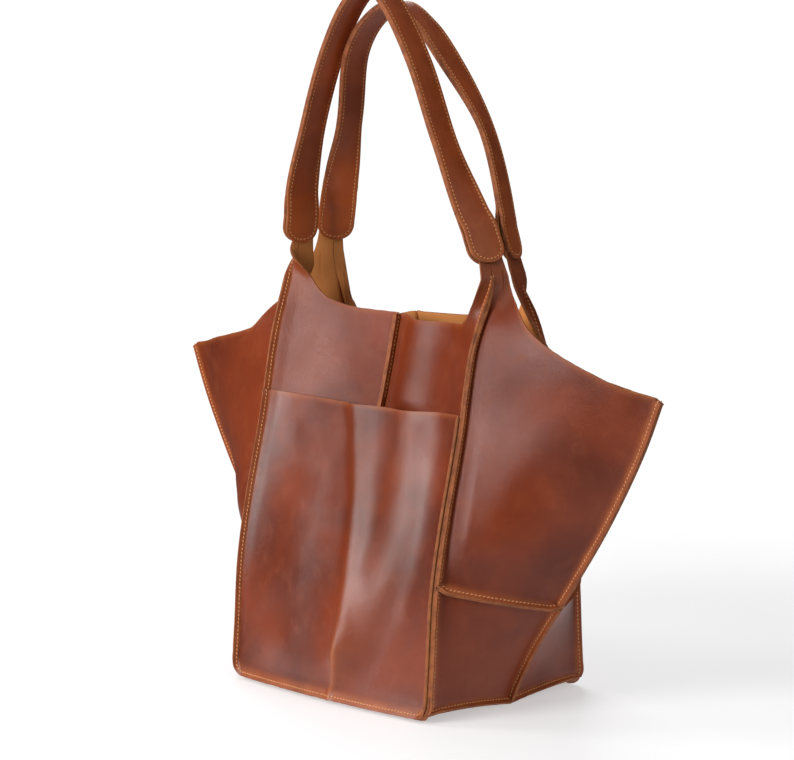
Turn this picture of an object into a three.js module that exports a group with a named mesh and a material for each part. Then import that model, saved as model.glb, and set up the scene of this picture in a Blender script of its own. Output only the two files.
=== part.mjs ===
// Leather tote bag: walls sewn with standing seams, a pointed wing on each side, a front pocket and two
// handles.
// Millimetres, +Z up. The front faces -Y, and the origin is on the floor under the middle of the base.
import * as THREE from "three";

const { lerp, smoothstep, degToRad } = THREE.MathUtils;

// Leather and seams
const LEATHER = 1.8;                    // thickness of a wall
const STRAP_LEATHER = 2.2;              // thickness of one handle layer
const SEAM_GAP = 0.4;                   // between two layers of a seam
const LIP = 6;                          // how far a seam stands out from the bag
const PLY = LEATHER + SEAM_GAP;
const HALF_PLY = PLY / 2;
const POCKET_PLY = PLY + 0.5;           // from the front wall's middle to the pocket's along their seams
const CORNER_EASE = 1.5;                // walls stand this much further apart where two seams meet
const BASE_EASE = 1.15;                 // and the base this much further from the front and back
const FOOT_EASE = 0.3;                  // extra gap of a corner seam just above the base
const SEAM_EASE = 14;                   // width of wall that a seam draws along with it
const TWIST_FOOT = 280;                 // a corner seam twists from here up to its tab
const TWIST_EASE = 0.5;                 // and has this much more gap there, to each side
const TAB_GAP = 0.8;                    // between a tab and the handle layers on it
const SHARPEST = 0.6;                   // cosine of the sharpest bend that a wall's corner is mitred for
const LEAST_LIP = 0.5;                  // a lip lower than this is left off

// Body
const HALF_WIDTH = 118;                 // of the front, out to a corner seam
const BASE_LIFT = 7.4;                  // height of the bottom seam over the floor
const CORNER_ROUND = 10;                // radius of the front's lower corners
const ROUND_TOP = BASE_LIFT + CORNER_ROUND;
const EDGE_FOOT = 6.8;                  // foot of the side's middle seam
const FOOT_WAVE = 2.5;                  // how far the side's bottom seam rises between its ends
const BASE_SLOPE = 26;                  // width of the sloping border of the base
const CROSS_FRONT = 113;                // height of the side's cross seam at the corner seams
const CROSS_EDGE = 93;                  // and at the side's middle
const SIDE_BOW = 5;                     // how far a side wall bows out
const POCKET_TOP = 251;                 // height of the pocket's edge at the corner seams
const POCKET_SAG = 4;                   // how much lower it is in the middle
const ROOM_EASE = 20;                   // width over which the pocket swells out from its seams
const FOLD_FOOT = 90;                   // its folds run out below this height

// Tabs that go up into the handles
const TAB_WIDTH = 12;                   // of each wall in a tab
const TAB_TOP = 394;
const TAB_RUN = 8;                      // how much further a handle runs straight
const TAB_FLAT = 362;                   // above this a tab lies flat and its seam is straight
const TAB_BEND = 300;                   // from here up a corner seam runs in to its tab
const DRAW_FOOT = 240;                  // a tab that is drawn in starts to be so here
const DRAW_TOP = 330;
const TAB_SHOULDER = 13.5;              // half width of a tab where it runs out into the mouth
const SCOOP_EASE = 3.5;                 // width over which the mouth drops beside a tab
const DIP_FULL = 26;                    // the mouth is lowest between these distances from the corner seam
const DIP_END = 74;
const SAG_START = 0.075;                // a wing's top edge sags from this share of the way out
const SAG_FULL = 0.28;
const PANEL_FOLD = 46;                  // how far along the front or back a tab's fold reaches

// Seam lips: how far each is turned from the edge of its wall to the wall's face, in degrees
const SIDE_TURN = 63;
const FOOT_TURN = 20;
const CENTRE_LIP_FOOT = 40;             // a centre seam has no lip below this
const CENTRE_LIP_COVERED = 3;           // its lip behind the pocket

// Handles
const STRAP_WIDTH = 32;                 // at its ends
const STRAP_MIDDLE = 27;                // and over the top
const STRAP_NARROWS = 120;              // length over which it gets narrower
const STRAP_GAP = 0.6;                  // between its two layers
const STRAP_END = 14;                   // length of a strap's round end
const STRAP_STEPS = 34;
const STRAP_CROWDING = 0.6;             // how much closer the steps are over the top
const STRAP_SPREAD = 46;                // length over which its layers close up above the tab

// The four corners. across, along: signs in X and Y. depth: share of the front's depth.
// tabX, lean: where a tab starts and how it leans in. turn: the way that it faces, in degrees from X.
// grip: where its handle starts. hold, twist: from where to where along the handle it turns to face it.
// foldLow, foldReach: from where, and how far out, its fold runs into the wing.
// scoop: how much of the mouth's rise to the tab is curled away. dip: how much lower the mouth is past it.
// drop: how far the wing's top edge sags. press: how closely the wing is pressed to the bag's middle plane,
// where 1 is straight. bend, flat: from where to where up the seam its front or back wall turns into the
// tab. lipEnd: from here up its seam's lip gets lower. wingBend, wingFlat: from where to where its wing turns
// into the tab. draw: how far the tab is drawn in to the middle.
const CORNERS = {
  front_right: {
    across: 1, along: -1, depth: 1, tabX: 120, lean: 0.45, turn: 17, grip: 374, hold: 46, twist: 110,
    foldLow: 312, foldReach: 60, scoop: 0.9, dip: 3, drop: 0, press: 1, bend: 300, flat: 362, lipEnd: 325,
    wingBend: 300, wingFlat: 362, draw: 0,
  },
  front_left: {
    across: -1, along: -1, depth: 1, tabX: 118, lean: 0.12, turn: -12, grip: 379, hold: 46, twist: 105,
    foldLow: 270, foldReach: 120, scoop: 0, dip: 0, drop: 50, press: 1, bend: 344, flat: 378, lipEnd: 346,
    wingBend: 300, wingFlat: 362, draw: 0,
  },
  back_right: {
    across: 1, along: 1, depth: 0.95, tabX: 114, lean: 0.3, turn: 22, grip: 375, hold: 105, twist: 195,
    foldLow: 270, foldReach: 70, scoop: 0.8, dip: 0, drop: 70, press: 4, bend: 300, flat: 362, lipEnd: 325,
    wingBend: 262, wingFlat: 322, draw: 6,
  },
  back_left: {
    across: -1, along: 1, depth: 0.95, tabX: 114, lean: 0.2, turn: 38, grip: 380, hold: 46, twist: 110,
    foldLow: 300, foldReach: 80, scoop: 0.95, dip: 7, drop: 70, press: 4, bend: 300, flat: 362, lipEnd: 325,
    wingBend: 300, wingFlat: 362, draw: 0,
  },
};

// Half depth of the bag at a corner seam
const CORNER_DEPTH = curve("z", "y", [
  { z: 0, y: 93 }, { z: 46, y: 89.5 }, { z: 107, y: 85 }, { z: 160, y: 75 }, { z: 230, y: 58 },
  { z: 300, y: 44 }, { z: 342, y: 30.5 }, { z: 362, y: 23.5 }, { z: 376, y: 21 }, { z: 404, y: 20 },
]);

// Half depth at the centre seams, round at the foot and drawn in at the mouth
const CENTRE_DEPTH = curve("z", "y", [
  { z: 0, y: 101 }, { z: 50, y: 90 }, { z: 110, y: 76 }, { z: 180, y: 53 }, { z: 250, y: 29 },
  { z: 325, y: 10 },
]);

// Room in the pocket at its middle
const POCKET_ROOM = curve("z", "room", [
  { z: 7, room: 0 }, { z: 50, room: 7 }, { z: 110, room: 12 }, { z: 180, room: 14 }, { z: 251, room: 12 },
]);

// Soft folds of the pocket: place across at the top and at the foot, half width, and height (a dent is
// below 0)
const POCKET_FOLDS = [
  { top: 5, foot: 3, width: 22, height: 3 },
  { top: 44, foot: 14, width: 20, height: 3 },
  { top: -34, foot: -14, width: 26, height: -3 },
];

// Height of the front and back walls at a distance in from the corner seam: the tab, then the mouth
const MOUTH = curve("inward", "z", [
  { inward: 0, z: TAB_TOP }, { inward: TAB_WIDTH, z: TAB_TOP }, { inward: TAB_SHOULDER, z: 367 },
  { inward: 17, z: 355 }, { inward: 26, z: 342 }, { inward: 42, z: 331 },
  { inward: 74, z: 325 }, { inward: 118, z: 324 },
], THREE.LinearInterpolant);

// The side's middle seam from the base to the wing's tip: reach from the middle, and droop of its lip
const SIDE_EDGE = [
  { z: 6, x: 119, droop: 60 }, { z: 21, x: 126, droop: 42 }, { z: 56, x: 146, droop: 28 },
  { z: 93, x: 172, droop: 22 }, { z: 157, x: 216, droop: 28 }, { z: 190, x: 236, droop: 28 },
  { z: 235, x: 260, droop: 28 }, { z: 275, x: 277, droop: 30 }, { z: 395, x: 325, droop: 30 },
];
const EDGE_REACH = curve("z", "x", SIDE_EDGE);
const EDGE_DROOP = curve("z", "droop", SIDE_EDGE);

// Height of a wing's top edge from its tab (0) out to its tip (1)
const WING_TOP = curve("out", "z", [
  { out: 0, z: TAB_TOP }, { out: 0.058, z: TAB_TOP }, { out: 0.075, z: 374 }, { out: 0.115, z: 359 },
  { out: 0.165, z: 344 }, { out: 0.28, z: 326 }, { out: 0.45, z: 308 }, { out: 0.65, z: 292 },
  { out: 0.85, z: 280 }, { out: 1, z: 275 },
], THREE.LinearInterpolant);

// Steps round the front's lower corners, the middle one where the side's bottom seam starts
const ROUND_STEPS = [90, 67.5, 45, 20].map(degToRad);
const ROUND_INWARD = ROUND_STEPS.map((angle) => CORNER_ROUND * (1 - Math.sin(angle)));
const ROUND_HEIGHTS = ROUND_STEPS.map((angle) => ROUND_TOP - CORNER_ROUND * Math.cos(angle));
const [, ROUND_MIDDLE, CORNER_FOOT] = ROUND_HEIGHTS;
const CORNER_INSET = ROUND_INWARD[2];

// Heights on a corner seam that all the walls sewn there share, and their columns
const LEVELS = [
  CORNER_FOOT, ROUND_MIDDLE, ROUND_TOP, 50, 78, CROSS_FRONT, 145, 190, POCKET_TOP,
  282, 303, 322, 342, TAB_FLAT, 376, TAB_TOP,
];
const PANEL_COLUMNS = [...ROUND_INWARD, TAB_WIDTH, TAB_SHOULDER, 17, 26, 42, 74, HALF_WIDTH];
const POCKET_COLUMNS = [...ROUND_INWARD, TAB_WIDTH, 26, 42, 58, 74, 96, HALF_WIDTH];
const WING_COLUMNS = [0, 0.03, 0.058, 0.075, 0.115, 0.165, 0.28, 0.45, 0.65, 0.85, 1];
const GUSSET_COLUMNS = [0, 0.08, 0.22, 0.42, 0.64, 0.85, 1];
const BASE_COLUMNS = [CORNER_INSET, ROUND_INWARD[3], TAB_WIDTH, 26, 42, 74, HALF_WIDTH];

// The handles' middle lines between their tabs, left to right
const HANDLES = {
  front: [
    { x: -110, y: -22, z: 426 }, { x: -94, y: -23, z: 484 }, { x: -66, y: -25, z: 549 },
    { x: -39, y: -26, z: 588 }, { x: -16, y: -26, z: 603 }, { x: 6, y: -26, z: 586 },
    { x: 37, y: -25, z: 538 }, { x: 65, y: -23, z: 472 }, { x: 95, y: -22, z: 416 },
  ],
  back: [
    { x: -103, y: 17, z: 424 }, { x: -79, y: 7, z: 490 }, { x: -57, y: -6, z: 546 },
    { x: -37, y: -5, z: 573 }, { x: -14, y: 1, z: 586 }, { x: 9, y: 9, z: 570 },
    { x: 33, y: 13, z: 542 }, { x: 75, y: 17, z: 482 }, { x: 98, y: 15, z: 420 },
  ],
};

const COLOURS = { wall: 0x6e3420, pocket: 0x743722, base: 0x5f2c1a, strap: 0x63301c };

/** A function through the rows of a table, from one column to another, smooth unless it says otherwise. */
function curve(from, to, rows, Interpolant = THREE.CubicInterpolant) {
  const places = rows.map((row) => row[from]);
  const values = rows.map((row) => row[to]);
  const through = new Interpolant(places, values, 1);
  return (place) => through.evaluate(place)[0];
}

/** The shared levels from one height to another, as shares of the way up. */
function shares(low, high) {
  const within = LEVELS.filter((level) => level >= low && level <= high);
  return within.map((level) => (level - low) / (high - low));
}

/** The unit direction part of the way from one direction to another. */
function between(first, second, share) {
  return first.clone().lerp(second, share).normalize();
}

/** Distance of a corner seam from the middle at a height. */
function cornerReach(corner, z) {
  const bent = lerp(HALF_WIDTH, corner.tabX, smoothstep(z, TAB_BEND, TAB_FLAT));
  return bent - corner.lean * Math.max(0, z - TAB_FLAT);
}

/** How far a corner seam is drawn in at a height. */
function drawnIn(corner, z) {
  return corner.draw * smoothstep(z, DRAW_FOOT, DRAW_TOP);
}

/** Half depth of the front or back wall at a distance across and a height. */
function wallDepth(corner, x, z) {
  const share = (x / HALF_WIDTH) ** 2;
  return corner.depth * lerp(CENTRE_DEPTH(z), CORNER_DEPTH(z), share) - drawnIn(corner, z) * share;
}

/** Height of the front's or back's top edge at a distance in from the corner seam. */
function mouthHeight(corner, inward) {
  const curled = corner.scoop * smoothstep(inward, TAB_SHOULDER, TAB_SHOULDER + SCOOP_EASE);
  const past = smoothstep(inward, TAB_SHOULDER, DIP_FULL) * (1 - smoothstep(inward, DIP_END, HALF_WIDTH));
  return lerp(MOUTH(inward), MOUTH(HALF_WIDTH), curled) - corner.dip * past;
}

/** Height of a wing's top edge on the way out from the tab (0) to its tip (1). */
function wingHeight(corner, out) {
  return WING_TOP(out) - corner.drop * (1 - out) ** 2 * smoothstep(out, SAG_START, SAG_FULL);
}

/**
 * The seam round the front or back wall: its place, the way that its lip stands, and the way to the walls
 * behind it. The angle is 0 along the foot and a quarter turn up a side.
 */
function rimSeam(corner, angle, x, z) {
  const onRim = lerp(FOOT_TURN, SIDE_TURN, Math.sin(angle));
  const turn = degToRad(lerp(onRim, corner.turn, smoothstep(z, corner.bend, corner.flat)));
  const out = new THREE.Vector3(corner.across * Math.sin(angle), 0, -Math.cos(angle));
  const face = new THREE.Vector3(0, corner.along, 0);
  const depth = wallDepth(corner, Math.min(x, HALF_WIDTH), z);
  const at = new THREE.Vector3(corner.across * x, corner.along * depth, z);
  const lip = out.clone().multiplyScalar(Math.cos(turn)).addScaledVector(face, Math.sin(turn));
  const side = out.clone().multiplyScalar(Math.sin(turn)).addScaledVector(face, -Math.cos(turn));
  const nested = face.clone().addScaledVector(out, -Math.tan(turn / 2));
  return { at, lip, side, nested };
}

/** The rim seam where it runs up a corner of the bag, from the round foot to the tab. */
function cornerSeam(corner, z) {
  const drop = ROUND_TOP - z;
  if (drop <= 0) {
    const seam = rimSeam(corner, Math.PI / 2, cornerReach(corner, z), z);
    seam.at.y = corner.along * (corner.depth * CORNER_DEPTH(z) - drawnIn(corner, z));
    return seam;
  }
  const angle = Math.acos(Math.min(1, drop / CORNER_ROUND));
  return rimSeam(corner, angle, HALF_WIDTH - CORNER_ROUND * (1 - Math.sin(angle)), z);
}

/** The rim seam where it runs along the foot of a wall, at a distance in from the corner. */
function footSeam(corner, inward) {
  const angle = Math.asin(Math.max(0, 1 - inward / CORNER_ROUND));
  const z = ROUND_TOP - CORNER_ROUND * Math.cos(angle);
  return rimSeam(corner, angle, HALF_WIDTH - inward, z);
}

/** How far each wall of a corner seam stands off from the seam's middle at a height. */
function cornerPly(corner, z) {
  const twist = smoothstep(z, TWIST_FOOT, corner.lipEnd) * (1 - smoothstep(z, corner.lipEnd, corner.flat));
  return HALF_PLY + TWIST_EASE * twist + FOOT_EASE * (1 - smoothstep(z, ROUND_TOP, BASE_SLOPE));
}

/** How far a corner seam's lip stands out at a height. */
function cornerLip(corner, z) {
  return LIP * (1 - smoothstep(z, corner.lipEnd, corner.flat));
}

/** How far a centre seam's lip stands out at a height, behind the pocket or in the open. */
function centreLip(z, covered) {
  if (z < CENTRE_LIP_FOOT) return 0;
  return covered ? lerp(CENTRE_LIP_COVERED, LIP, smoothstep(z, POCKET_TOP - 45, POCKET_TOP - 10)) : LIP;
}

/** A point of a side wall: from the corner seam (0) out to the middle seam (1), at a height. */
function sidePoint(corner, out, z) {
  const seam = cornerSeam(corner, z);
  const edge = new THREE.Vector3(corner.across * EDGE_REACH(z), 0, z);
  const run = edge.clone().sub(seam.at);
  const outward = new THREE.Vector3(corner.across * Math.abs(run.y), corner.along * Math.abs(run.x), 0);
  const power = lerp(1, corner.press, smoothstep(z, CROSS_FRONT, TWIST_FOOT));
  const bow = (SIDE_BOW / power) * Math.sin(Math.PI * out) * smoothstep(z, 0, CROSS_FRONT);
  const point = seam.at.clone().addScaledVector(run, out);
  point.y = seam.at.y * (1 - out) ** power;
  point.addScaledVector(outward.normalize(), bow);
  const length = out * run.length();
  const near = 1 - smoothstep(length, TAB_WIDTH, corner.foldReach);
  const fold = near * smoothstep(z, corner.foldLow, TAB_FLAT);
  const turn = degToRad(lerp(SIDE_TURN, corner.turn, smoothstep(z, corner.wingBend, corner.wingFlat)));
  const back = new THREE.Vector3(corner.across * Math.sin(turn), -corner.along * Math.cos(turn), 0);
  return point.lerp(seam.at.clone().addScaledVector(back, length), fold);
}

/** The way that the lip of a side's middle seam stands at a height. */
function edgeLip(corner, z) {
  const droop = degToRad(EDGE_DROOP(z));
  return new THREE.Vector3(corner.across * Math.cos(droop), 0, -Math.sin(droop));
}

/** A seam across a side wall, whose height is a function of the way out. Its side is the upper one. */
function acrossSeam(corner, out, height) {
  const step = 0.01;
  const at = sidePoint(corner, out, height(out));
  const ahead = sidePoint(corner, Math.min(1, out + step), height(Math.min(1, out + step)));
  const behind = sidePoint(corner, Math.max(0, out - step), height(Math.max(0, out - step)));
  const lip = between(cornerSeam(corner, height(0)).lip, edgeLip(corner, height(1)), out);
  const side = ahead.sub(behind).cross(lip).normalize();
  if (side.z < 0) side.negate();
  return { at, lip, side };
}

/** Height of the cross seam of a side. */
function crossHeight(out) {
  return lerp(CROSS_FRONT, CROSS_EDGE, out);
}

/** Height of the bottom seam of a side. */
function footHeight(out) {
  return lerp(CORNER_FOOT, EDGE_FOOT, out) + FOOT_WAVE * Math.sin(Math.PI * out);
}

/** The border of a grid of rows and columns, in order round it. */
function border(rows, columns) {
  const round = [];
  for (let c = 0; c < columns - 1; c += 1) round.push([0, c]);
  for (let r = 0; r < rows - 1; r += 1) round.push([r, columns - 1]);
  for (let c = columns - 1; c > 0; c -= 1) round.push([rows - 1, c]);
  for (let r = rows - 1; r > 0; r -= 1) round.push([r, 0]);
  return round;
}

/**
 * Triangles of a sheet: the cells of a grid of points, and a strip of lip along its border. In a mirrored
 * sheet the right half is cut into triangles the other way round.
 */
function sheetFaces(grid, mirrored) {
  const rows = grid.length;
  const columns = grid[0].length;
  const points = grid.flat().map((node) => node.at);
  const faces = [];
  const turnFrom = mirrored ? (columns - 1) / 2 : columns;
  const quad = (column, corners) => {
    if (column >= turnFrom) corners.push(corners.shift());
    const [a, b, c, d] = corners;
    faces.push([a, b, c], [a, c, d]);
  };
  for (let r = 0; r < rows - 1; r += 1) {
    for (let c = 0; c < columns - 1; c += 1) {
      const first = r * columns + c;
      quad(c, [first, first + 1, first + columns + 1, first + columns]);
    }
  }
  const round = border(rows, columns).map(([r, c]) => ({ index: r * columns + c, c, node: grid[r][c] }));
  for (const place of round) {
    if (place.node.lip && place.node.lip.length() > LEAST_LIP) {
      place.tip = points.length;
      points.push(place.node.at.clone().add(place.node.lip));
    }
  }
  round.forEach((place, k) => {
    const next = round[(k + 1) % round.length];
    if (place.tip && next.tip) {
      quad(Math.min(place.c, next.c), [next.index, place.index, place.tip, next.tip]);
    }
  });
  return { points, faces };
}

/** A closed wall: a sheet given its thickness, half to each side. */
function wall(grid, thickness, mirrored) {
  const { points, faces } = sheetFaces(grid, mirrored);
  const normals = faces.map(([a, b, c]) => {
    const along = points[b].clone().sub(points[a]);
    return along.cross(points[c].clone().sub(points[a]));
  });
  const sums = points.map(() => new THREE.Vector3());
  faces.forEach((face, k) => face.forEach((p) => sums[p].add(normals[k].clone().normalize())));
  sums.forEach((sum) => sum.normalize());
  const widest = points.map(() => 1);
  faces.forEach((face, k) => {
    const flat = normals[k].clone().normalize();
    face.forEach((p) => { widest[p] = Math.min(widest[p], flat.dot(sums[p])); });
  });
  const positions = [];
  for (const sign of [1, -1]) {
    points.forEach((point, p) => {
      const reach = (sign * thickness) / 2 / Math.max(SHARPEST, widest[p]);
      positions.push(...point.clone().addScaledVector(sums[p], reach).toArray());
    });
  }
  const count = points.length;
  const index = [];
  const edges = new Map();
  for (const [a, b, c] of faces) {
    index.push(a, b, c, count + a, count + c, count + b);
    for (const [from, to] of [[a, b], [b, c], [c, a]]) {
      if (!edges.delete(`${to},${from}`)) edges.set(`${from},${to}`, [from, to]);
    }
  }
  for (const [from, to] of edges.values()) {
    index.push(from, count + from, to, to, count + from, count + to);
  }
  const geometry = new THREE.BufferGeometry();
  geometry.setAttribute("position", new THREE.Float32BufferAttribute(positions, 3));
  geometry.setIndex(index);
  return geometry;
}

/** A named mesh of a grid of leather. */
function leather(name, grid, colour, { thickness = LEATHER, mirrored = false } = {}) {
  const material = new THREE.MeshStandardMaterial({ color: colour, roughness: 0.45, metalness: 0 });
  const mesh = new THREE.Mesh(wall(grid, thickness, mirrored), material);
  mesh.name = name;
  return mesh;
}

/** Height of the round foot of the front or back wall at a distance in from the corner. */
function footRise(inward) {
  const past = Math.max(0, CORNER_ROUND - inward);
  return ROUND_TOP - Math.sqrt(CORNER_ROUND ** 2 - past ** 2);
}

/** One half of the front or back wall, from its corner seam to its centre seam. */
function halfPanel(name, corner, covered) {
  const grid = shares(ROUND_TOP, TAB_TOP).map((share, r) => PANEL_COLUMNS.map((inward, c) => {
    const z = lerp(footRise(inward), mouthHeight(corner, inward), share);
    const x = cornerReach(corner, z) * (1 - inward / HALF_WIDTH);
    const at = new THREE.Vector3(corner.across * x, corner.along * wallDepth(corner, x, z), z);
    const seam = cornerSeam(corner, z);
    const fold = smoothstep(z, corner.bend, corner.flat) * (1 - smoothstep(inward, TAB_WIDTH, PANEL_FOLD));
    at.lerp(seam.at.clone().addScaledVector(seam.side, -inward), fold);
    if (r > 0) at.addScaledVector(seam.side, -cornerPly(corner, z) * (1 - smoothstep(inward, 0, SEAM_EASE)));
    const node = { at };
    if (c === PANEL_COLUMNS.length - 1) {
      at.x = corner.across * HALF_PLY;
      node.lip = new THREE.Vector3(0, corner.along * centreLip(z, covered), 0);
    }
    if (c === 0 || r === 0) {
      const rim = r === 0 ? footSeam(corner, inward) : seam;
      if (r === 0) at.addScaledVector(rim.side, -HALF_PLY);
      node.lip = rim.lip.multiplyScalar(cornerLip(corner, z));
    }
    return node;
  }));
  return leather(name, grid, COLOURS.wall);
}

/** How far the pocket stands out from the front at a place across and a height. */
function pocketRoom(x, z) {
  const inward = HALF_WIDTH - Math.abs(x);
  const arch = Math.sqrt(Math.max(0, 1 - (x / HALF_WIDTH) ** 2));
  const swell = POCKET_ROOM(z) * arch * smoothstep(inward, 0, ROOM_EASE);
  const up = z / POCKET_TOP;
  const ends = smoothstep(inward, ROOM_EASE / 2, 2 * ROOM_EASE) * smoothstep(z, ROUND_TOP, FOLD_FOOT);
  const folds = POCKET_FOLDS.reduce((sum, fold) => {
    const off = (x - lerp(fold.foot, fold.top, up)) / fold.width;
    return sum + fold.height * Math.exp(-off * off);
  }, 0);
  return swell + folds * ends;
}

/** The front pocket, sewn in along both corner seams and the foot. */
function pocket(name) {
  const sides = [CORNERS.front_left, CORNERS.front_right];
  const [left, right] = sides.map((corner) => POCKET_COLUMNS.map((inward) => ({ corner, inward })));
  const columns = [...left, ...right.reverse().slice(1)];
  const grid = shares(ROUND_TOP, POCKET_TOP).map((share, r) => columns.map(({ corner, inward }) => {
    const x = HALF_WIDTH - inward;
    const top = POCKET_TOP - POCKET_SAG * (1 - (x / HALF_WIDTH) ** 2);
    const z = lerp(footRise(inward), top, share);
    const rim = r === 0 ? footSeam(corner, inward) : cornerSeam(corner, z);
    const drawn = r === 0 ? 1 : 1 - smoothstep(inward, 0, SEAM_EASE);
    const room = r === 0 ? 0 : pocketRoom(corner.across * x, z);
    const depth = wallDepth(corner, x, z) + room + POCKET_PLY * (1 - drawn);
    const at = new THREE.Vector3(corner.across * x, corner.along * depth, z);
    at.addScaledVector(rim.side, -HALF_PLY * drawn).addScaledVector(rim.nested, POCKET_PLY * drawn);
    return inward === 0 || r === 0 ? { at, lip: rim.lip.multiplyScalar(LIP) } : { at };
  }));
  return leather(name, grid, COLOURS.pocket, { mirrored: true });
}

/** A side wall between two heights, sewn to its corner seam, its middle seam and the seams across. */
function sideWall(name, corner, columns, low, high, openTop) {
  const rows = shares(low(0), high(0));
  const grid = rows.map((share, r) => columns.map((out, c) => {
    const z = lerp(low(out), high(out), share);
    const node = { at: sidePoint(corner, out, z) };
    const across = r === 0 || (r === rows.length - 1 && !openTop);
    const ply = across && (c === 0 || c === columns.length - 1) ? HALF_PLY * CORNER_EASE : HALF_PLY;
    if (c === 0) {
      const seam = cornerSeam(corner, z);
      node.at.addScaledVector(seam.side, across ? ply : cornerPly(corner, z));
      node.lip = seam.lip.multiplyScalar(cornerLip(corner, z));
    }
    if (c === columns.length - 1) {
      node.at.y += corner.along * ply;
      node.lip = edgeLip(corner, z).multiplyScalar(LIP);
    }
    if (across) {
      const seam = acrossSeam(corner, out, r === 0 ? low : high);
      node.at.addScaledVector(seam.side, r === 0 ? ply : -ply);
      node.lip = seam.lip.multiplyScalar(LIP);
    }
    return node;
  }));
  return leather(name, grid, COLOURS.wall);
}

/** The base, flat on the floor in its middle, with a border that slopes up to the seams round it. */
function base(name) {
  const corners = (u, w) => CORNERS[`${w < 0 ? "front" : "back"}_${u < 0 ? "left" : "right"}`];
  const reach = HALF_WIDTH - CORNER_INSET;
  const foot = (u, w) => footSeam(corners(u, w), HALF_WIDTH - reach * Math.abs(u));
  const flank = (u, w) => acrossSeam(corners(u, w), 1 - Math.abs(w), footHeight);
  const mirrored = (halves) => [...halves.map((half) => -half), ...halves.slice(0, -1).reverse()];
  const wide = mirrored(BASE_COLUMNS.map((inward) => (HALF_WIDTH - inward) / reach));
  const deep = mirrored(GUSSET_COLUMNS.map((out) => 1 - out));
  const grid = deep.map((w) => wide.map((u) => {
    const [v, h] = [(w + 1) / 2, (u + 1) / 2];
    const lengthwise = foot(u, -1).at.lerp(foot(u, 1).at, v);
    const crosswise = flank(-1, w).at.lerp(flank(1, w).at, h);
    const fore = foot(-1, -1).at.lerp(foot(1, -1).at, h);
    const aft = foot(-1, 1).at.lerp(foot(1, 1).at, h);
    const at = lengthwise.add(crosswise).sub(fore.lerp(aft, v));
    const edge = Math.min((1 - Math.abs(u)) * HALF_WIDTH, (1 - Math.abs(w)) * CORNER_DEPTH(0));
    at.z = lerp(at.z, LEATHER / 2, smoothstep(edge, 0, BASE_SLOPE));
    const node = { at };
    const [sideways, endways] = [Math.abs(u) === 1, Math.abs(w) === 1];
    const ply = HALF_PLY * (sideways && endways ? CORNER_EASE : BASE_EASE);
    if (sideways) {
      const seam = flank(u, w);
      at.addScaledVector(seam.side, -ply);
      node.lip = seam.lip.multiplyScalar(LIP);
    }
    if (endways) {
      const seam = foot(u, w);
      at.addScaledVector(seam.side, ply);
      node.lip = seam.lip.multiplyScalar(LIP);
    }
    return node;
  }));
  return leather(name, grid, COLOURS.base, { mirrored: true });
}

/** One layer of a handle: a strap with round ends, on the outer (1) or inner (-1) face of its tabs. */
function strap(name, rows, left, right, layer) {
  const ends = [left, right].map((corner) => {
    const heights = [corner.grip, (corner.grip + TAB_TOP) / 2, TAB_TOP, TAB_TOP + TAB_RUN];
    return heights.map((z) => cornerSeam(corner, z).at);
  });
  const middle = rows.map((row) => new THREE.Vector3(row.x, row.y, row.z));
  const line = [...ends[0], ...middle, ...ends[1].reverse()];
  const path = new THREE.CatmullRomCurve3(line, false, "centripetal");
  path.arcLengthDivisions = 600;
  const length = path.getLength();
  const faces = [left, right].map((corner) => {
    return cornerSeam(corner, TAB_TOP).side.multiplyScalar(-corner.along);
  });
  const tips = [15, 40, 65, 90].map(degToRad);
  const round = tips.map((angle) => ({ at: STRAP_END * (1 - Math.cos(angle)), wide: Math.sin(angle) }));
  const straight = Array.from({ length: STRAP_STEPS - 1 }, (_, k) => {
    const turn = (2 * Math.PI * (k + 1)) / STRAP_STEPS;
    const share = (turn + STRAP_CROWDING * Math.sin(turn)) / (2 * Math.PI);
    return { at: lerp(STRAP_END, length - STRAP_END, share), wide: 1 };
  });
  const last = round.map((row) => ({ at: length - row.at, wide: row.wide })).reverse();
  const grid = [...round, ...straight, ...last].map((row) => {
    const point = path.getPointAt(row.at / length);
    const tangent = path.getTangentAt(row.at / length);
    const wide = new THREE.Vector3(0, 1, 0);
    wide.lerp(faces[0], 1 - smoothstep(row.at, left.hold, left.twist));
    wide.lerp(faces[1], 1 - smoothstep(length - row.at, right.hold, right.twist));
    wide.addScaledVector(tangent, -wide.dot(tangent)).normalize();
    const outward = tangent.cross(wide);
    const near = Math.min(row.at, length - row.at);
    const tab = LEATHER / 2 + TAB_GAP;
    const spread = lerp(tab, STRAP_GAP / 2, smoothstep(near, STRAP_SPREAD - STRAP_END, STRAP_SPREAD));
    point.addScaledVector(outward, layer * (STRAP_LEATHER / 2 + spread));
    const width = lerp(STRAP_WIDTH, STRAP_MIDDLE, smoothstep(near, STRAP_END, STRAP_NARROWS));
    const reach = (row.wide * width) / 2;
    return [-1, 0, 1].map((across) => ({ at: point.clone().addScaledVector(wide, across * reach) }));
  });
  return leather(name, grid, COLOURS.strap, { thickness: STRAP_LEATHER });
}

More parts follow.
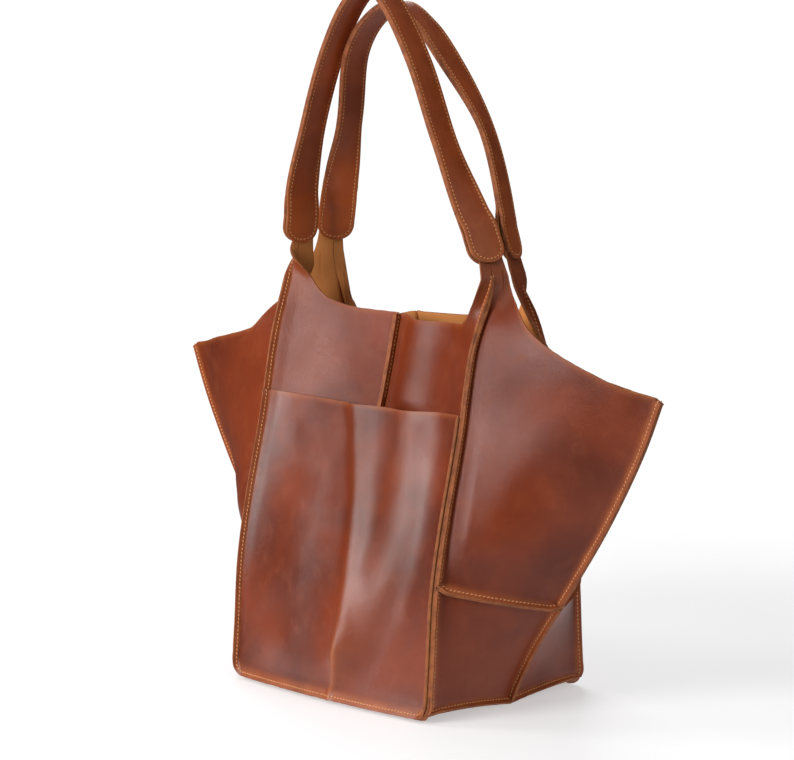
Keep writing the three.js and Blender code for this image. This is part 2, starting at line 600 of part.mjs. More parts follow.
/** The whole bag. */
function toteBag() {
  const bag = new THREE.Group();
  for (const [place, corner] of Object.entries(CORNERS)) {
    const [end, hand] = place.split("_");
    bag.add(halfPanel(`${place}_panel`, corner, end === "front"));
    const top = (out) => wingHeight(corner, out);
    bag.add(sideWall(`${hand}_${end}_wing`, corner, WING_COLUMNS, crossHeight, top, true));
    bag.add(sideWall(`${hand}_${end}_gusset`, corner, GUSSET_COLUMNS, footHeight, crossHeight, false));
  }
  bag.add(pocket("front_pocket"));
  bag.add(base("base_panel"));
  for (const [end, rows] of Object.entries(HANDLES)) {
    const [left, right] = [CORNERS[`${end}_left`], CORNERS[`${end}_right`]];
    bag.add(strap(`${end}_handle_outer`, rows, left, right, 1));
    bag.add(strap(`${end}_handle_inner`, rows, left, right, -1));
  }
  return bag;
}

export default toteBag();
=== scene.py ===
"""Looks of a leather tote bag: walls sewn with standing seams, a front pocket, wings and handles.

The walls are worked out in millimetres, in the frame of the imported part: the front faces -Y and the
origin is on the floor under the middle of the base. Meshes are made in metres.
"""

import logging
import math
from abc import ABC, abstractmethod
from collections.abc import Callable, Sequence
from dataclasses import dataclass, field
from enum import Enum

import bpy
import numpy as np
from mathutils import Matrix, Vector


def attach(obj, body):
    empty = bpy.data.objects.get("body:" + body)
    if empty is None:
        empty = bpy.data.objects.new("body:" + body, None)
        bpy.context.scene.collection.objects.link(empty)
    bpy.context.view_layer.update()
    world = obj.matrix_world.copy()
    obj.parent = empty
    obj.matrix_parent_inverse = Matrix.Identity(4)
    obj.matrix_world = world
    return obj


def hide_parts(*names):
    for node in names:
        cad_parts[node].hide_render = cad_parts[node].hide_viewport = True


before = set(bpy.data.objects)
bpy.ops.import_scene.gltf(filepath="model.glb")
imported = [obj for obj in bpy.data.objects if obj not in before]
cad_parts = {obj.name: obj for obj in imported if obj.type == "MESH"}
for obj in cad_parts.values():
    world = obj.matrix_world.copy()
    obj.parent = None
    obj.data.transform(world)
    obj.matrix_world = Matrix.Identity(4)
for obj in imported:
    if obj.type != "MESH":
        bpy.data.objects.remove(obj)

LOG = logging.getLogger("tote")
MM = 0.001
Array = np.ndarray
Number = float | Array
Socket = bpy.types.NodeSocket


def ease(value: Number, low: float, high: float) -> Array:
    """A smooth step from 0 at low to 1 at high."""
    share = np.clip((np.asarray(value, float) - low) / (high - low), 0, 1)
    return share * share * (3 - 2 * share)


def mix(first: Number, second: Number, share: Number) -> Array:
    """The value part of the way from the first to the second."""
    return first + (second - first) * share


def vector(x: Number, y: Number, z: Number) -> Array:
    """Points or directions from their three parts."""
    return np.stack(np.broadcast_arrays(x, y, z), -1).astype(float)


def unit(directions: Array) -> Array:
    """The same directions, one long."""
    length = np.linalg.norm(directions, axis=-1, keepdims=True)
    return directions / np.maximum(length, 1e-9)


def merged(*runs: Sequence[float] | Array) -> Array:
    """All the places of some runs, in order and each once."""
    return np.unique(np.concatenate([np.asarray(run, float) for run in runs]))


def travelled(lines: Array) -> Array:
    """How far along its line each point lies, for one line of points or for many."""
    steps = np.linalg.norm(np.diff(lines, axis=-2), axis=-1)
    return np.concatenate([0 * steps[..., :1], np.cumsum(steps, axis=-1)], axis=-1)


def along_line(line: Array, far: Array) -> Array:
    """The points at distances along a line of points."""
    marks = travelled(line)
    return np.stack([np.interp(far, marks, line[:, k]) for k in range(3)], -1)


def cubic(t: Number, first: Number, rise: Number, begin: Number, end: Number) -> Array:
    """A smooth run from its first value, its rise and its slopes at both ends."""
    return first + t * (begin + t * (3 * rise - 2 * begin - end + t * (begin + end - 2 * rise)))


@dataclass(frozen=True)
class Ramp:
    """A smooth step from 0 at a low value to 1 at a high one."""

    low: float
    high: float

    def __call__(self, value: Number) -> Array:
        """The step's height at a value, or at many."""
        return ease(value, self.low, self.high)


@dataclass(frozen=True)
class Swell:
    """A soft uneven lie, as leather has that was cut and sewn by hand.

    Height and wave are in millimetres; the wave is the usual distance between two swells.
    """

    height: float
    wave: float
    seed: int
    waves: int = 9
    spread: tuple[float, float] = (0.7, 1.6)
    fullness: float = 3.5

    def rise(self, points: Array) -> Array:
        """How far the leather swells at places.

        Args:
            points: places in millimetres.

        Returns:
            Heights in millimetres, to either side.
        """
        chance = np.random.default_rng(self.seed)
        total = np.zeros(points.shape[:-1])
        for _ in range(self.waves):
            way = unit(chance.normal(size=3))
            ahead = way * math.tau / (self.wave * chance.uniform(*self.spread))
            total += np.sin(points @ ahead + chance.uniform(0, math.tau))
        return self.height * (total / self.fullness)


class Bend(Enum):
    """How a table's curve runs between its rows."""

    SMOOTH = "smooth"
    NO_OVERSHOOT = "no_overshoot"


@dataclass(frozen=True)
class Curve:
    """A curve through the rows of a table of places and values."""

    rows: tuple[tuple[float, float], ...]
    bend: Bend = Bend.SMOOTH

    def slopes(self, places: Array, values: Array) -> Array:
        """The curve's slope at each row.

        Args:
            places: the table's places.
            values: the table's values.

        Returns:
            One slope for each row.
        """
        secants = np.diff(values) / np.diff(places)
        inner = (secants[1:] + secants[:-1]) / 2
        if self.bend is Bend.NO_OVERSHOOT:
            level = secants[1:] * secants[:-1] <= 0
            inner = np.where(level, 0, secants[1:] * secants[:-1] / np.where(level, 1, inner))
        return np.concatenate([secants[:1], inner, secants[-1:]])

    def __call__(self, place: Number) -> Array:
        """The curve's value at a place, or at many.

        Args:
            place: one place or more.

        Returns:
            A value for each.
        """
        places, values = np.array(self.rows).T
        slopes = self.slopes(places, values)
        place = np.clip(np.asarray(place, float), places[0], places[-1])
        k = np.clip(np.searchsorted(places, place, side="right") - 1, 0, len(places) - 2)
        step = places[k + 1] - places[k]
        rise = values[k + 1] - values[k]
        t = (place - places[k]) / step
        return cubic(t, values[k], rise, slopes[k] * step, slopes[k + 1] * step)


# Leather and seams
LEATHER = 1.8
STRAP_LEATHER = 2.2
LIP = 6.0
LEAST_LIP = 0.5
LIP_STEPS = (0.2, 0.42, 0.62, 0.82, 1.0)
LIP_SWELL = 0.14
STITCH_SHARE = 0.42
LEAST_RUN = 4
PLY = 2.2
HALF_PLY = PLY / 2
POCKET_PLY = PLY + 0.5
BUTTED = 0.2
BUTTED_BELOW = 6.0
SEAM_EASE = 14.0
SEAM_ROUND = 2.6
EDGE_ROUND = 0.3
EDGE_LIE = Swell(0.5, 9.0, 5)
FOOT_EASE = 0.3
TWIST_FOOT = 280.0
TWIST_EASE = 0.3

# Body
HALF_WIDTH = 118.0
BASE_LIFT = 7.4
CORNER_ROUND = 10.0
ROUND_STEPS = 9
ROUND_TOP = BASE_LIFT + CORNER_ROUND
CORNER_FOOT = ROUND_TOP - CORNER_ROUND * math.cos(math.radians(45))
CORNER_INSET = CORNER_ROUND * (1 - math.sin(math.radians(45)))
EDGE_FOOT = 6.8
FOOT_WAVE = 2.5
BASE_SLOPE = 26.0
CROSS_FRONT = 113.0
CROSS_EDGE = 93.0
CROSS_HANG = 0.75
HANG_ENDS = Ramp(0, 0.1)
CROSS_STEP = 0.01
SIDE_BOW = 5.0
POCKET_TOP = 251.0
POCKET_SAG = 4.0

# Tabs and mouth
TAB_WIDTH = 12.0
TAB_TOP = 394.0
TAB_RUN = 8.0
TAB_FLAT = 362.0
TAB_BEND = 300.0
TAB_GAP = 0.8
TAB_SHOULDER = 13.5
SCOOP_EASE = 3.5
DIP_FULL = 26.0
DIP_END = 74.0
PANEL_FOLD = 46.0
DRAWN_IN = Ramp(240.0, 330.0)
WING_SAG = Ramp(0.075, 0.28)

# Seam lips, with turns in degrees
SIDE_TURN = 63.0
FOOT_TURN = 20.0
CENTRE_LIP_COVERED = 3.0
CENTRE_BUTTED = 0.45
CENTRE_OPENS = Ramp(8.0, 20.0)

# Handles
STRAP_WIDTH = 32.0
STRAP_MIDDLE = 27.0
STRAP_GAP = 0.6
STRAP_END = 14.0
STRAP_STITCH = 3.0
STRAP_NARROWS = Ramp(STRAP_END, 120.0)
STRAP_CLOSES = Ramp(32.0, 46.0)
STRAP_TIP_POWER = 0.82

CORNER_DEPTH = Curve(
    (
        (0, 93), (46, 89.5), (107, 85), (160, 75), (230, 58),
        (300, 44), (342, 30.5), (362, 23.5), (376, 21), (404, 20),
    )
)
CENTRE_DEPTH = Curve(((0, 101), (50, 90), (110, 76), (180, 53), (250, 29), (325, 10)))
POCKET_ROOM = Curve(
    ((7, 0), (18, 6), (32, 10.5), (60, 12.5), (110, 13), (180, 13.5), (251, 12))
)
POCKET_FULL = Curve(((0, 50), (32, 61), (56, 73), (101, 90), (187, 103), (251, 91)))
MOUTH = Curve(
    (
        (0, TAB_TOP), (TAB_WIDTH, TAB_TOP), (TAB_SHOULDER, 367), (17, 355),
        (26, 342), (42, 331), (74, 325), (118, 324),
    ),
    Bend.NO_OVERSHOOT,
)
FRONT_RIGHT_MOUTH = Curve(
    (
        (0, TAB_TOP), (5, 392), (9, 374), (11, 354), (13.5, 338),
        (17, 329), (26, 323), (74, 321), (118, 324),
    ),
    Bend.NO_OVERSHOOT,
)
FRONT_LEFT_MOUTH = Curve(
    (
        (0, TAB_TOP), (3, 392), (7, 378), (12, 364), (17, 355),
        (26, 342), (42, 331), (74, 325), (118, 324),
    ),
    Bend.NO_OVERSHOOT,
)
BACK_LEFT_MOUTH = Curve(
    (
        (0, TAB_TOP), (4, 393), (8, 378), (9, 362), (9.5, 345),
        (10.5, 332), (14, 325), (26, 322), (118, 324),
    ),
    Bend.NO_OVERSHOOT,
)
WING_TOP = Curve(
    (
        (0, TAB_TOP), (0.058, TAB_TOP), (0.075, 374), (0.115, 359), (0.165, 344),
        (0.28, 326), (0.45, 308), (0.65, 292), (0.85, 280), (1, 275),
    ),
    Bend.NO_OVERSHOOT,
)
FRONT_RIGHT_WING = Curve(
    (
        (0, TAB_TOP), (0.052, TAB_TOP), (0.066, 374), (0.093, 357), (0.165, 340),
        (0.28, 322), (0.45, 306), (0.65, 292), (0.85, 280), (1, 275),
    ),
    Bend.NO_OVERSHOOT,
)
EDGE_REACH = Curve(
    (
        (6, 119), (21, 126), (56, 146), (93, 172), (157, 216),
        (190, 236), (235, 260), (275, 277), (395, 325),
    )
)
EDGE_DROOP = Curve(
    (
        (6, 60), (21, 42), (56, 28), (93, 22), (157, 28),
        (190, 28), (235, 28), (275, 30), (395, 30),
    )
)


def foot_rise(inward: Number) -> Array:
    """Height of the round foot of the front or back wall at a distance in from the corner."""
    past = np.maximum(0, CORNER_ROUND - np.asarray(inward, float))
    return ROUND_TOP - np.sqrt(CORNER_ROUND**2 - past**2)


def round_columns() -> Array:
    """Distances in from the corner, close together where the foot is round."""
    return CORNER_ROUND * (1 - np.sin(np.radians(np.linspace(90, 0, ROUND_STEPS))))


def cross_height(out: Number) -> Array:
    """Height of the seam across a side, on the way out from the corner seam."""
    return mix(CROSS_FRONT, CROSS_EDGE, np.asarray(out, float))


def foot_height(out: Number) -> Array:
    """Height of a side's bottom seam, on the way out from the corner seam."""
    wave = FOOT_WAVE * np.sin(math.pi * np.asarray(out))
    return mix(CORNER_FOOT, EDGE_FOOT, np.asarray(out, float)) + wave


def hems(inward: Array, over: Array) -> tuple[Array, Array]:
    """How much places belong to the foot seam and to the corner seam, by distance from each."""
    at_foot = 1 - ease(over, 0, SEAM_EASE)
    return at_foot, (1 - ease(inward, 0, SEAM_EASE)) * (1 - at_foot)


@dataclass
class Seam:
    """Places along a seam, the way that its lip stands, and the ways to the walls beside it."""

    at: Array
    lip: Array
    side: Array
    nested: Array | None = None


@dataclass(frozen=True)
class Corner:
    """One of the bag's four corners, with its tab and the walls that are sewn there.

    Across is 1 on the right and -1 on the left; along is 1 at the back and -1 at the front.
    """

    across: int
    along: int
    tab_x: float
    lean: float
    turn: float
    grip: float
    twist: float
    fold_low: float
    fold_reach: float
    depth: float = 1.0
    hold: float = 46.0
    scoop: float = 0.0
    dip: float = 0.0
    drop: float = 0.0
    press: float = 1.0
    draw: float = 0.0
    bend: float = TAB_BEND
    flat: float = TAB_FLAT
    lip_end: float = 325.0
    lip_top: float = TAB_FLAT
    wing_bend: float = TAB_BEND
    wing_flat: float = TAB_FLAT
    edge: Curve = MOUTH
    wing: Curve = WING_TOP

    def ply(self, z: Array) -> Array:
        """How far each wall of the corner seam stands off from the seam's middle.

        Args:
            z: heights.

        Returns:
            Distances.
        """
        twist = ease(z, TWIST_FOOT, self.lip_end) * (1 - ease(z, self.lip_end, self.lip_top))
        stand = HALF_PLY + TWIST_EASE * twist + FOOT_EASE * (1 - ease(z, ROUND_TOP, BASE_SLOPE))
        return mix(stand, BUTTED, ease(z, self.lip_end, self.lip_top - BUTTED_BELOW))

    def lip(self, z: Array) -> Array:
        """How far the corner seam's lip stands out at a height."""
        return LIP * (1 - ease(z, self.lip_end, self.lip_top))

    def reach(self, z: Array) -> Array:
        """Distance of the corner seam from the middle at a height."""
        bent = mix(HALF_WIDTH, self.tab_x, ease(z, TAB_BEND, TAB_FLAT))
        return bent - self.lean * np.maximum(0, z - TAB_FLAT)

    def wall_depth(self, x: Array, z: Array) -> Array:
        """Half depth of the front or back wall.

        Args:
            x: distances from the middle.
            z: heights.

        Returns:
            The depth at those places.
        """
        share = (x / HALF_WIDTH) ** 2
        full = self.depth * mix(CENTRE_DEPTH(z), CORNER_DEPTH(z), share)
        return full - self.drawn_in(z) * share

    def drawn_in(self, z: Array) -> Array:
        """How far the corner seam is drawn in to the middle at a height."""
        return self.draw * DRAWN_IN(z)

    def mouth(self, inward: Array) -> Array:
        """Height of the wall's top edge.

        Args:
            inward: distances in from the corner seam.

        Returns:
            Heights.
        """
        curled = self.scoop * ease(inward, TAB_SHOULDER, TAB_SHOULDER + SCOOP_EASE)
        past = ease(inward, TAB_SHOULDER, DIP_FULL) * (1 - ease(inward, DIP_END, HALF_WIDTH))
        return mix(self.edge(inward), MOUTH(HALF_WIDTH), curled) - self.dip * past

    def wing_top(self, out: Array) -> Array:
        """Height of the wing's top edge on the way out from the tab (0) to its tip (1)."""
        return self.wing(out) - self.drop * (1 - out) ** 2 * WING_SAG(out)

    def rim(self, angle: Array, x: Array, z: Array) -> Seam:
        """The seam round the front or back wall.

        Args:
            angle: 0 along the foot and a quarter turn up a side.
            x: distance from the middle.
            z: height.

        Returns:
            The seam at those places.
        """
        on_rim = mix(FOOT_TURN, SIDE_TURN, np.sin(angle))
        turn = np.radians(mix(on_rim, self.turn, ease(z, self.bend, self.flat)))[..., None]
        out = vector(self.across * np.sin(angle), 0, -np.cos(angle))
        face = vector(0 * angle, self.along, 0)
        depth = self.wall_depth(np.minimum(x, HALF_WIDTH), z)
        return Seam(
            vector(self.across * x, self.along * depth, z),
            out * np.cos(turn) + face * np.sin(turn),
            out * np.sin(turn) - face * np.cos(turn),
            face - out * np.tan(turn / 2),
        )

    def seam(self, z: Number) -> Seam:
        """The rim seam where it runs up the corner, from the round foot to the tab.

        Args:
            z: heights.

        Returns:
            The seam at those heights.
        """
        z = np.asarray(z, float)
        drop = ROUND_TOP - z
        upright = drop <= 0
        angle = np.where(upright, math.pi / 2, np.arccos(np.clip(drop / CORNER_ROUND, 0, 1)))
        x = np.where(upright, self.reach(z), HALF_WIDTH - CORNER_ROUND * (1 - np.sin(angle)))
        seam = self.rim(angle, x, z)
        straight = self.along * (self.depth * CORNER_DEPTH(z) - self.drawn_in(z))
        seam.at[..., 1] = np.where(upright, straight, seam.at[..., 1])
        return seam

    def foot(self, inward: Number) -> Seam:
        """The rim seam along the foot of the wall.

        Args:
            inward: distances in from the corner.

        Returns:
            The seam at those distances.
        """
        inward = np.asarray(inward, float)
        angle = np.arcsin(np.clip(1 - inward / CORNER_ROUND, 0, 1))
        return self.rim(angle, HALF_WIDTH - inward, ROUND_TOP - CORNER_ROUND * np.cos(angle))

    def run(self, z: Array) -> Array:
        """The way across a side wall from the corner seam to the side's middle seam."""
        return vector(self.across * EDGE_REACH(z), 0, z) - self.seam(z).at

    def side_point(self, out: Array, z: Array) -> Array:
        """Places on the side wall.

        Args:
            out: the way from the corner seam (0) to the middle seam (1).
            z: height.

        Returns:
            The places.
        """
        seam = self.seam(z)
        run = self.run(z)
        wide, deep = np.abs(run[..., 0]), np.abs(run[..., 1])
        outward = unit(vector(self.across * deep, self.along * wide, 0))
        power = mix(1, self.press, ease(z, CROSS_FRONT, TWIST_FOOT))
        bow = SIDE_BOW / power * np.sin(math.pi * out) * ease(z, 0, CROSS_FRONT)
        point = seam.at + run * out[..., None]
        point[..., 1] = seam.at[..., 1] * (1 - out) ** power
        point = point + outward * bow[..., None]
        length = out * np.linalg.norm(run, axis=-1)
        fold = (1 - ease(length, TAB_WIDTH, self.fold_reach)) * ease(z, self.fold_low, TAB_FLAT)
        turn = np.radians(mix(SIDE_TURN, self.turn, ease(z, self.wing_bend, self.wing_flat)))
        back = vector(self.across * np.sin(turn), -self.along * np.cos(turn), 0)
        return mix(point, seam.at + back * length[..., None], fold[..., None])

    def edge_lip(self, z: Array) -> Array:
        """The way that the lip of the side's middle seam stands at a height."""
        droop = np.radians(EDGE_DROOP(z))
        return vector(self.across * np.cos(droop), 0, -np.sin(droop))

    def across_seam(self, out: Array, height: Callable[[Array], Array]) -> Seam:
        """A seam across the side wall, whose side is the upper one.

        Args:
            out: the way from the corner seam (0) to the middle seam (1).
            height: the seam's height on the way out.

        Returns:
            The seam at those places.
        """
        ahead = np.minimum(1, out + CROSS_STEP)
        behind = np.maximum(0, out - CROSS_STEP)
        step = self.side_point(ahead, height(ahead)) - self.side_point(behind, height(behind))
        first = self.seam(height(np.zeros(1))).lip
        last = self.edge_lip(height(np.ones(1)))
        hang = CROSS_HANG if height is cross_height else 0.0
        down = vector(0, 0, hang * HANG_ENDS(out) * HANG_ENDS(1 - out))
        lip = unit(mix(first, last, out[..., None]) - down)
        side = unit(np.cross(step, lip))
        side = np.where(side[..., 2:] < 0, -side, side)
        return Seam(self.side_point(out, height(out)), lip, side)


CORNERS: dict[str, Corner] = {
    "front_right": Corner(
        across=1, along=-1, tab_x=120, lean=0.45, turn=17, grip=374, twist=110,
        fold_low=312, fold_reach=60, lip_end=340, lip_top=371,
        edge=FRONT_RIGHT_MOUTH, wing=FRONT_RIGHT_WING,
    ),
    "front_left": Corner(
        across=-1, along=-1, tab_x=118, lean=0.12, turn=-12, grip=379, twist=105,
        fold_low=270, fold_reach=120, drop=50, bend=344, flat=378, lip_end=350, lip_top=377,
        edge=FRONT_LEFT_MOUTH,
    ),
    "back_right": Corner(
        across=1, along=1, tab_x=114, lean=0.3, turn=22, grip=375, twist=195,
        fold_low=270, fold_reach=70, depth=0.95, hold=105, scoop=0.8, drop=70, press=4,
        wing_bend=262, wing_flat=322, draw=6,
    ),
    "back_left": Corner(
        across=-1, along=1, tab_x=117, lean=0.2, turn=38, grip=380, twist=110,
        fold_low=300, fold_reach=80, depth=0.95, dip=7, drop=70, press=4,
        edge=BACK_LEFT_MOUTH,
    ),
}


def colour(code: str) -> tuple[float, float, float, float]:
    """A colour for a shader.

    Args:
        code: its usual six digits.

    Returns:
        Its linear red, green and blue, and 1 for alpha.
    """
    parts = [int(code[k : k + 2], 16) / 255 for k in (0, 2, 4)]
    linear = [p / 12.92 if p <= 0.04045 else ((p + 0.055) / 1.055) ** 2.4 for p in parts]
    return (linear[0], linear[1], linear[2], 1.0)


def link(name: str, data: bpy.types.ID) -> bpy.types.Object:
    """Puts a new object into the scene.

    Args:
        name: its name.
        data: its mesh, lamp or camera.

    Returns:
        The object.
    """
    made = bpy.data.objects.new(name, data)
    bpy.context.scene.collection.objects.link(made)
    return made


@dataclass(frozen=True)
class Noise:
    """A noise over the leather, with its scale in waves to the metre."""

    scale: float
    detail: float
    rough: float
    twist: float = 0.0


@dataclass(frozen=True)
class Span:
    """A range of values, and the range that it is smoothly taken to."""

    low: float
    high: float
    to_low: float = 0.0
    to_high: float = 1.0


class Nodes:
    """Adds and joins the nodes of one tree."""

    def __init__(self, tree: bpy.types.NodeTree) -> None:
        """Starts with an empty tree."""
        self.tree = tree
        tree.nodes.clear()

    def add(
        self, kind: str, inputs: dict[str, object] | None = None, **options: object
    ) -> bpy.types.Node:
        """Adds a node.

        Args:
            kind: its type.
            inputs: values, or sockets to join, by input name or number.
            options: its own settings.

        Returns:
            The node.
        """
        node = self.tree.nodes.new(kind)
        for name, value in options.items():
            setattr(node, name, value)
        for name, value in (inputs or {}).items():
            self.feed(node.inputs[int(name) if name.isdigit() else name], value)
        return node

    def out(self, kind: str, inputs: dict[str, object] | None = None, **options: object) -> Socket:
        """Adds a node, as add does, and gives its first output."""
        return self.add(kind, inputs, **options).outputs[0]

    def feed(self, socket: Socket, value: object) -> None:
        """Joins another socket to a socket, or sets its value.

        Args:
            socket: an input.
            value: an output to join to it, or a plain value.
        """
        if isinstance(value, Socket):
            self.tree.links.new(value, socket)
        else:
            socket.default_value = value

    def math(self, operation: str, first: object, second: object = 0.0) -> Socket:
        """Two values put together."""
        return self.out("ShaderNodeMath", {"0": first, "1": second}, operation=operation)

    def span(self, value: object, span: Span) -> Socket:
        """A value taken from one range to another.

        Args:
            value: a value or a socket.
            span: both ranges.

        Returns:
            The value in the second range.
        """
        ends = {
            "Value": value,
            "From Min": span.low,
            "From Max": span.high,
            "To Min": span.to_low,
            "To Max": span.to_high,
        }
        return self.out("ShaderNodeMapRange", ends, interpolation_type="SMOOTHSTEP")

    def blend(self, share: object, first: object, second: object) -> Socket:
        """A colour between two others.

        Args:
            share: 0 for the first and 1 for the second.
            first: a colour.
            second: a colour.

        Returns:
            The blended colour.
        """
        node = self.add("ShaderNodeMix", data_type="RGBA")
        for name, value in (("Factor_Float", share), ("A_Color", first), ("B_Color", second)):
            self.feed(next(s for s in node.inputs if s.identifier == name), value)
        return next(s for s in node.outputs if s.identifier == "Result_Color")

    def noise(self, place: object, noise: Noise) -> Socket:
        """A noise at a place."""
        drawn = {"Detail": noise.detail, "Roughness": noise.rough, "Distortion": noise.twist}
        return self.out("ShaderNodeTexNoise", {"Vector": place, "Scale": noise.scale, **drawn})


def shader_group(
    name: str, inputs: Sequence[str], outputs: Sequence[str]
) -> tuple[Nodes, dict[str, Socket], dict[str, Socket]]:
    """An empty shader group at a place on the leather.

    Args:
        name: the group's name.
        inputs: names of its other inputs, all values.
        outputs: names of its outputs, all values.

    Returns:
        The tree's nodes, what it is given, and the sockets of its results, both by name.
    """
    tree = bpy.data.node_groups.new(name, "ShaderNodeTree")
    tree.interface.new_socket("Place", in_out="INPUT", socket_type="NodeSocketVector")
    for way, labels in (("INPUT", inputs), ("OUTPUT", outputs)):
        for label in labels:
            tree.interface.new_socket(label, in_out=way, socket_type="NodeSocketFloat")
    nodes = Nodes(tree)
    given = {socket.name: socket for socket in nodes.add("NodeGroupInput").outputs}
    result = {socket.name: socket for socket in nodes.add("NodeGroupOutput").inputs}
    return nodes, given, result


class Effects:
    """Shader groups that the finishes share."""

    CLOUDS, CLOUD_SPAN = Noise(11, 3, 0.5, 0.4), Span(0.28, 0.74)
    FLECKS, FLECK_SPAN = Noise(55, 6, 0.62, 0.5), Span(0.45, 0.8)
    SCUFFS, SCUFF_SPAN = Noise(34, 3, 0.5, 1.2), Span(0.62, 0.85)
    SCUFF_TURN, SCUFF_STRETCH = (0.5, 0.9, 0.3), (1, 9, 1)
    PORE_SPAN, PORE_SHARE = Span(0.0, 0.25), 0.35
    FINE_GRAIN, FINE_SHARE = Noise(420, 4, 0.6), 0.55
    SOFT_GRAIN, SOFT_SHARE = Noise(70, 3, 0.5), 1.5
    RUB = Noise(40, 4, 0.6)
    NEAR_EDGE = Span(-0.002, 0.006, 1.0, 0.0)
    EDGE_RUB = Span(0.25, 0.7, 0.35, 0.8)
    PULL_RUB = Span(0.2, 0.7, 0.45, 1.0)

    def __init__(self) -> None:
        """Builds the groups."""
        self.mottle = self.build_mottle()
        self.grain = self.build_grain()
        self.wear = self.build_wear()

    def build_mottle(self) -> bpy.types.NodeTree:
        """Clouds, flecks and fine scuffs of waxed leather.

        Returns:
            The group.
        """
        nodes, given, result = shader_group("mottle", (), ("Cloud", "Fleck", "Scuff"))
        place = given["Place"]
        drawn = nodes.out(
            "ShaderNodeMapping",
            {"Vector": place, "Rotation": self.SCUFF_TURN, "Scale": self.SCUFF_STRETCH},
        )
        marks = (
            ("Cloud", place, self.CLOUDS, self.CLOUD_SPAN),
            ("Fleck", place, self.FLECKS, self.FLECK_SPAN),
            ("Scuff", drawn, self.SCUFFS, self.SCUFF_SPAN),
        )
        for label, at, noise, span in marks:
            nodes.feed(result[label], nodes.span(nodes.noise(at, noise), span))
        return nodes.tree

    def build_grain(self) -> bpy.types.NodeTree:
        """Height of the leather's fine pores and soft unevenness.

        Returns:
            The group.
        """
        nodes, given, result = shader_group("grain", ("Pores",), ("Height",))
        place = given["Place"]
        cells = nodes.add(
            "ShaderNodeTexVoronoi",
            {"Vector": place, "Scale": given["Pores"]},
            feature="DISTANCE_TO_EDGE",
        )
        pores = nodes.span(cells.outputs["Distance"], self.PORE_SPAN)
        total = nodes.math("MULTIPLY", pores, self.PORE_SHARE)
        layers = ((self.FINE_GRAIN, self.FINE_SHARE), (self.SOFT_GRAIN, self.SOFT_SHARE))
        for noise, share in layers:
            layer = nodes.math("MULTIPLY", nodes.noise(place, noise), share)
            total = nodes.math("ADD", total, layer)
        nodes.feed(result["Height"], total)
        return nodes.tree

    def build_wear(self) -> bpy.types.NodeTree:
        """How far the wax is drawn out of the leather along its edges and folds.

        Returns:
            The group.
        """
        nodes, given, result = shader_group("wear", ("Edge", "Pull"), ("Worn",))
        uneven = nodes.noise(given["Place"], self.RUB)
        near = nodes.span(given["Edge"], self.NEAR_EDGE)
        at_edge = nodes.math("MULTIPLY", near, nodes.span(uneven, self.EDGE_RUB))
        drawn = nodes.math("MULTIPLY", given["Pull"], nodes.span(uneven, self.PULL_RUB))
        nodes.feed(result["Worn"], nodes.math("MAXIMUM", at_edge, drawn))
        return nodes.tree


@dataclass(frozen=True)
class Easel:
    """A material while it is painted: its nodes, the place on the leather, and the shader."""

    nodes: Nodes
    place: Socket
    shader: bpy.types.Node
    effects: Effects

    def group(self, tree: bpy.types.NodeTree, **inputs: object) -> Sequence[Socket]:
        """Places a shared group, and gives its outputs."""
        given = {"Place": self.place, **inputs}
        return self.nodes.add("ShaderNodeGroup", given, node_tree=tree).outputs

    def noise(self, noise: Noise) -> Socket:
        """A noise over the leather."""
        return self.nodes.noise(self.place, noise)

    def weigh(self, value: Socket, weight: float) -> Socket:
        """A value times its weight."""
        return self.nodes.math("MULTIPLY", value, weight)

    def put(self, values: dict[str, object]) -> None:
        """Gives the shader's inputs their values or sockets, by name."""
        for label, value in values.items():
            self.nodes.feed(self.shader.inputs[label], value)

    def relieve(self, height: Socket, strength: float, depth: float) -> None:
        """Gives the shader a relief of a depth in metres."""
        values = {"Height": height, "Strength": strength, "Distance": depth}
        self.put({"Normal": self.nodes.out("ShaderNodeBump", values)})


@dataclass(frozen=True)
class Finish(ABC):
    """A finish that makes one Blender material."""

    name: str

    @abstractmethod
    def paint(self, easel: Easel) -> None:
        """Paints the finish on a new material."""

    def material(self, effects: Effects) -> bpy.types.Material:
        """Makes the material.

        Args:
            effects: the shared shader groups.

        Returns:
            The material.
        """
        material = bpy.data.materials.new(self.name)
        material.use_nodes = True
        nodes = Nodes(material.node_tree)
        place = nodes.add("ShaderNodeTexCoord").outputs["Object"]
        shader = nodes.add("ShaderNodeBsdfPrincipled")
        nodes.add("ShaderNodeOutputMaterial", {"Surface": shader.outputs[0]})
        self.paint(Easel(nodes, place, shader, effects))
        return material


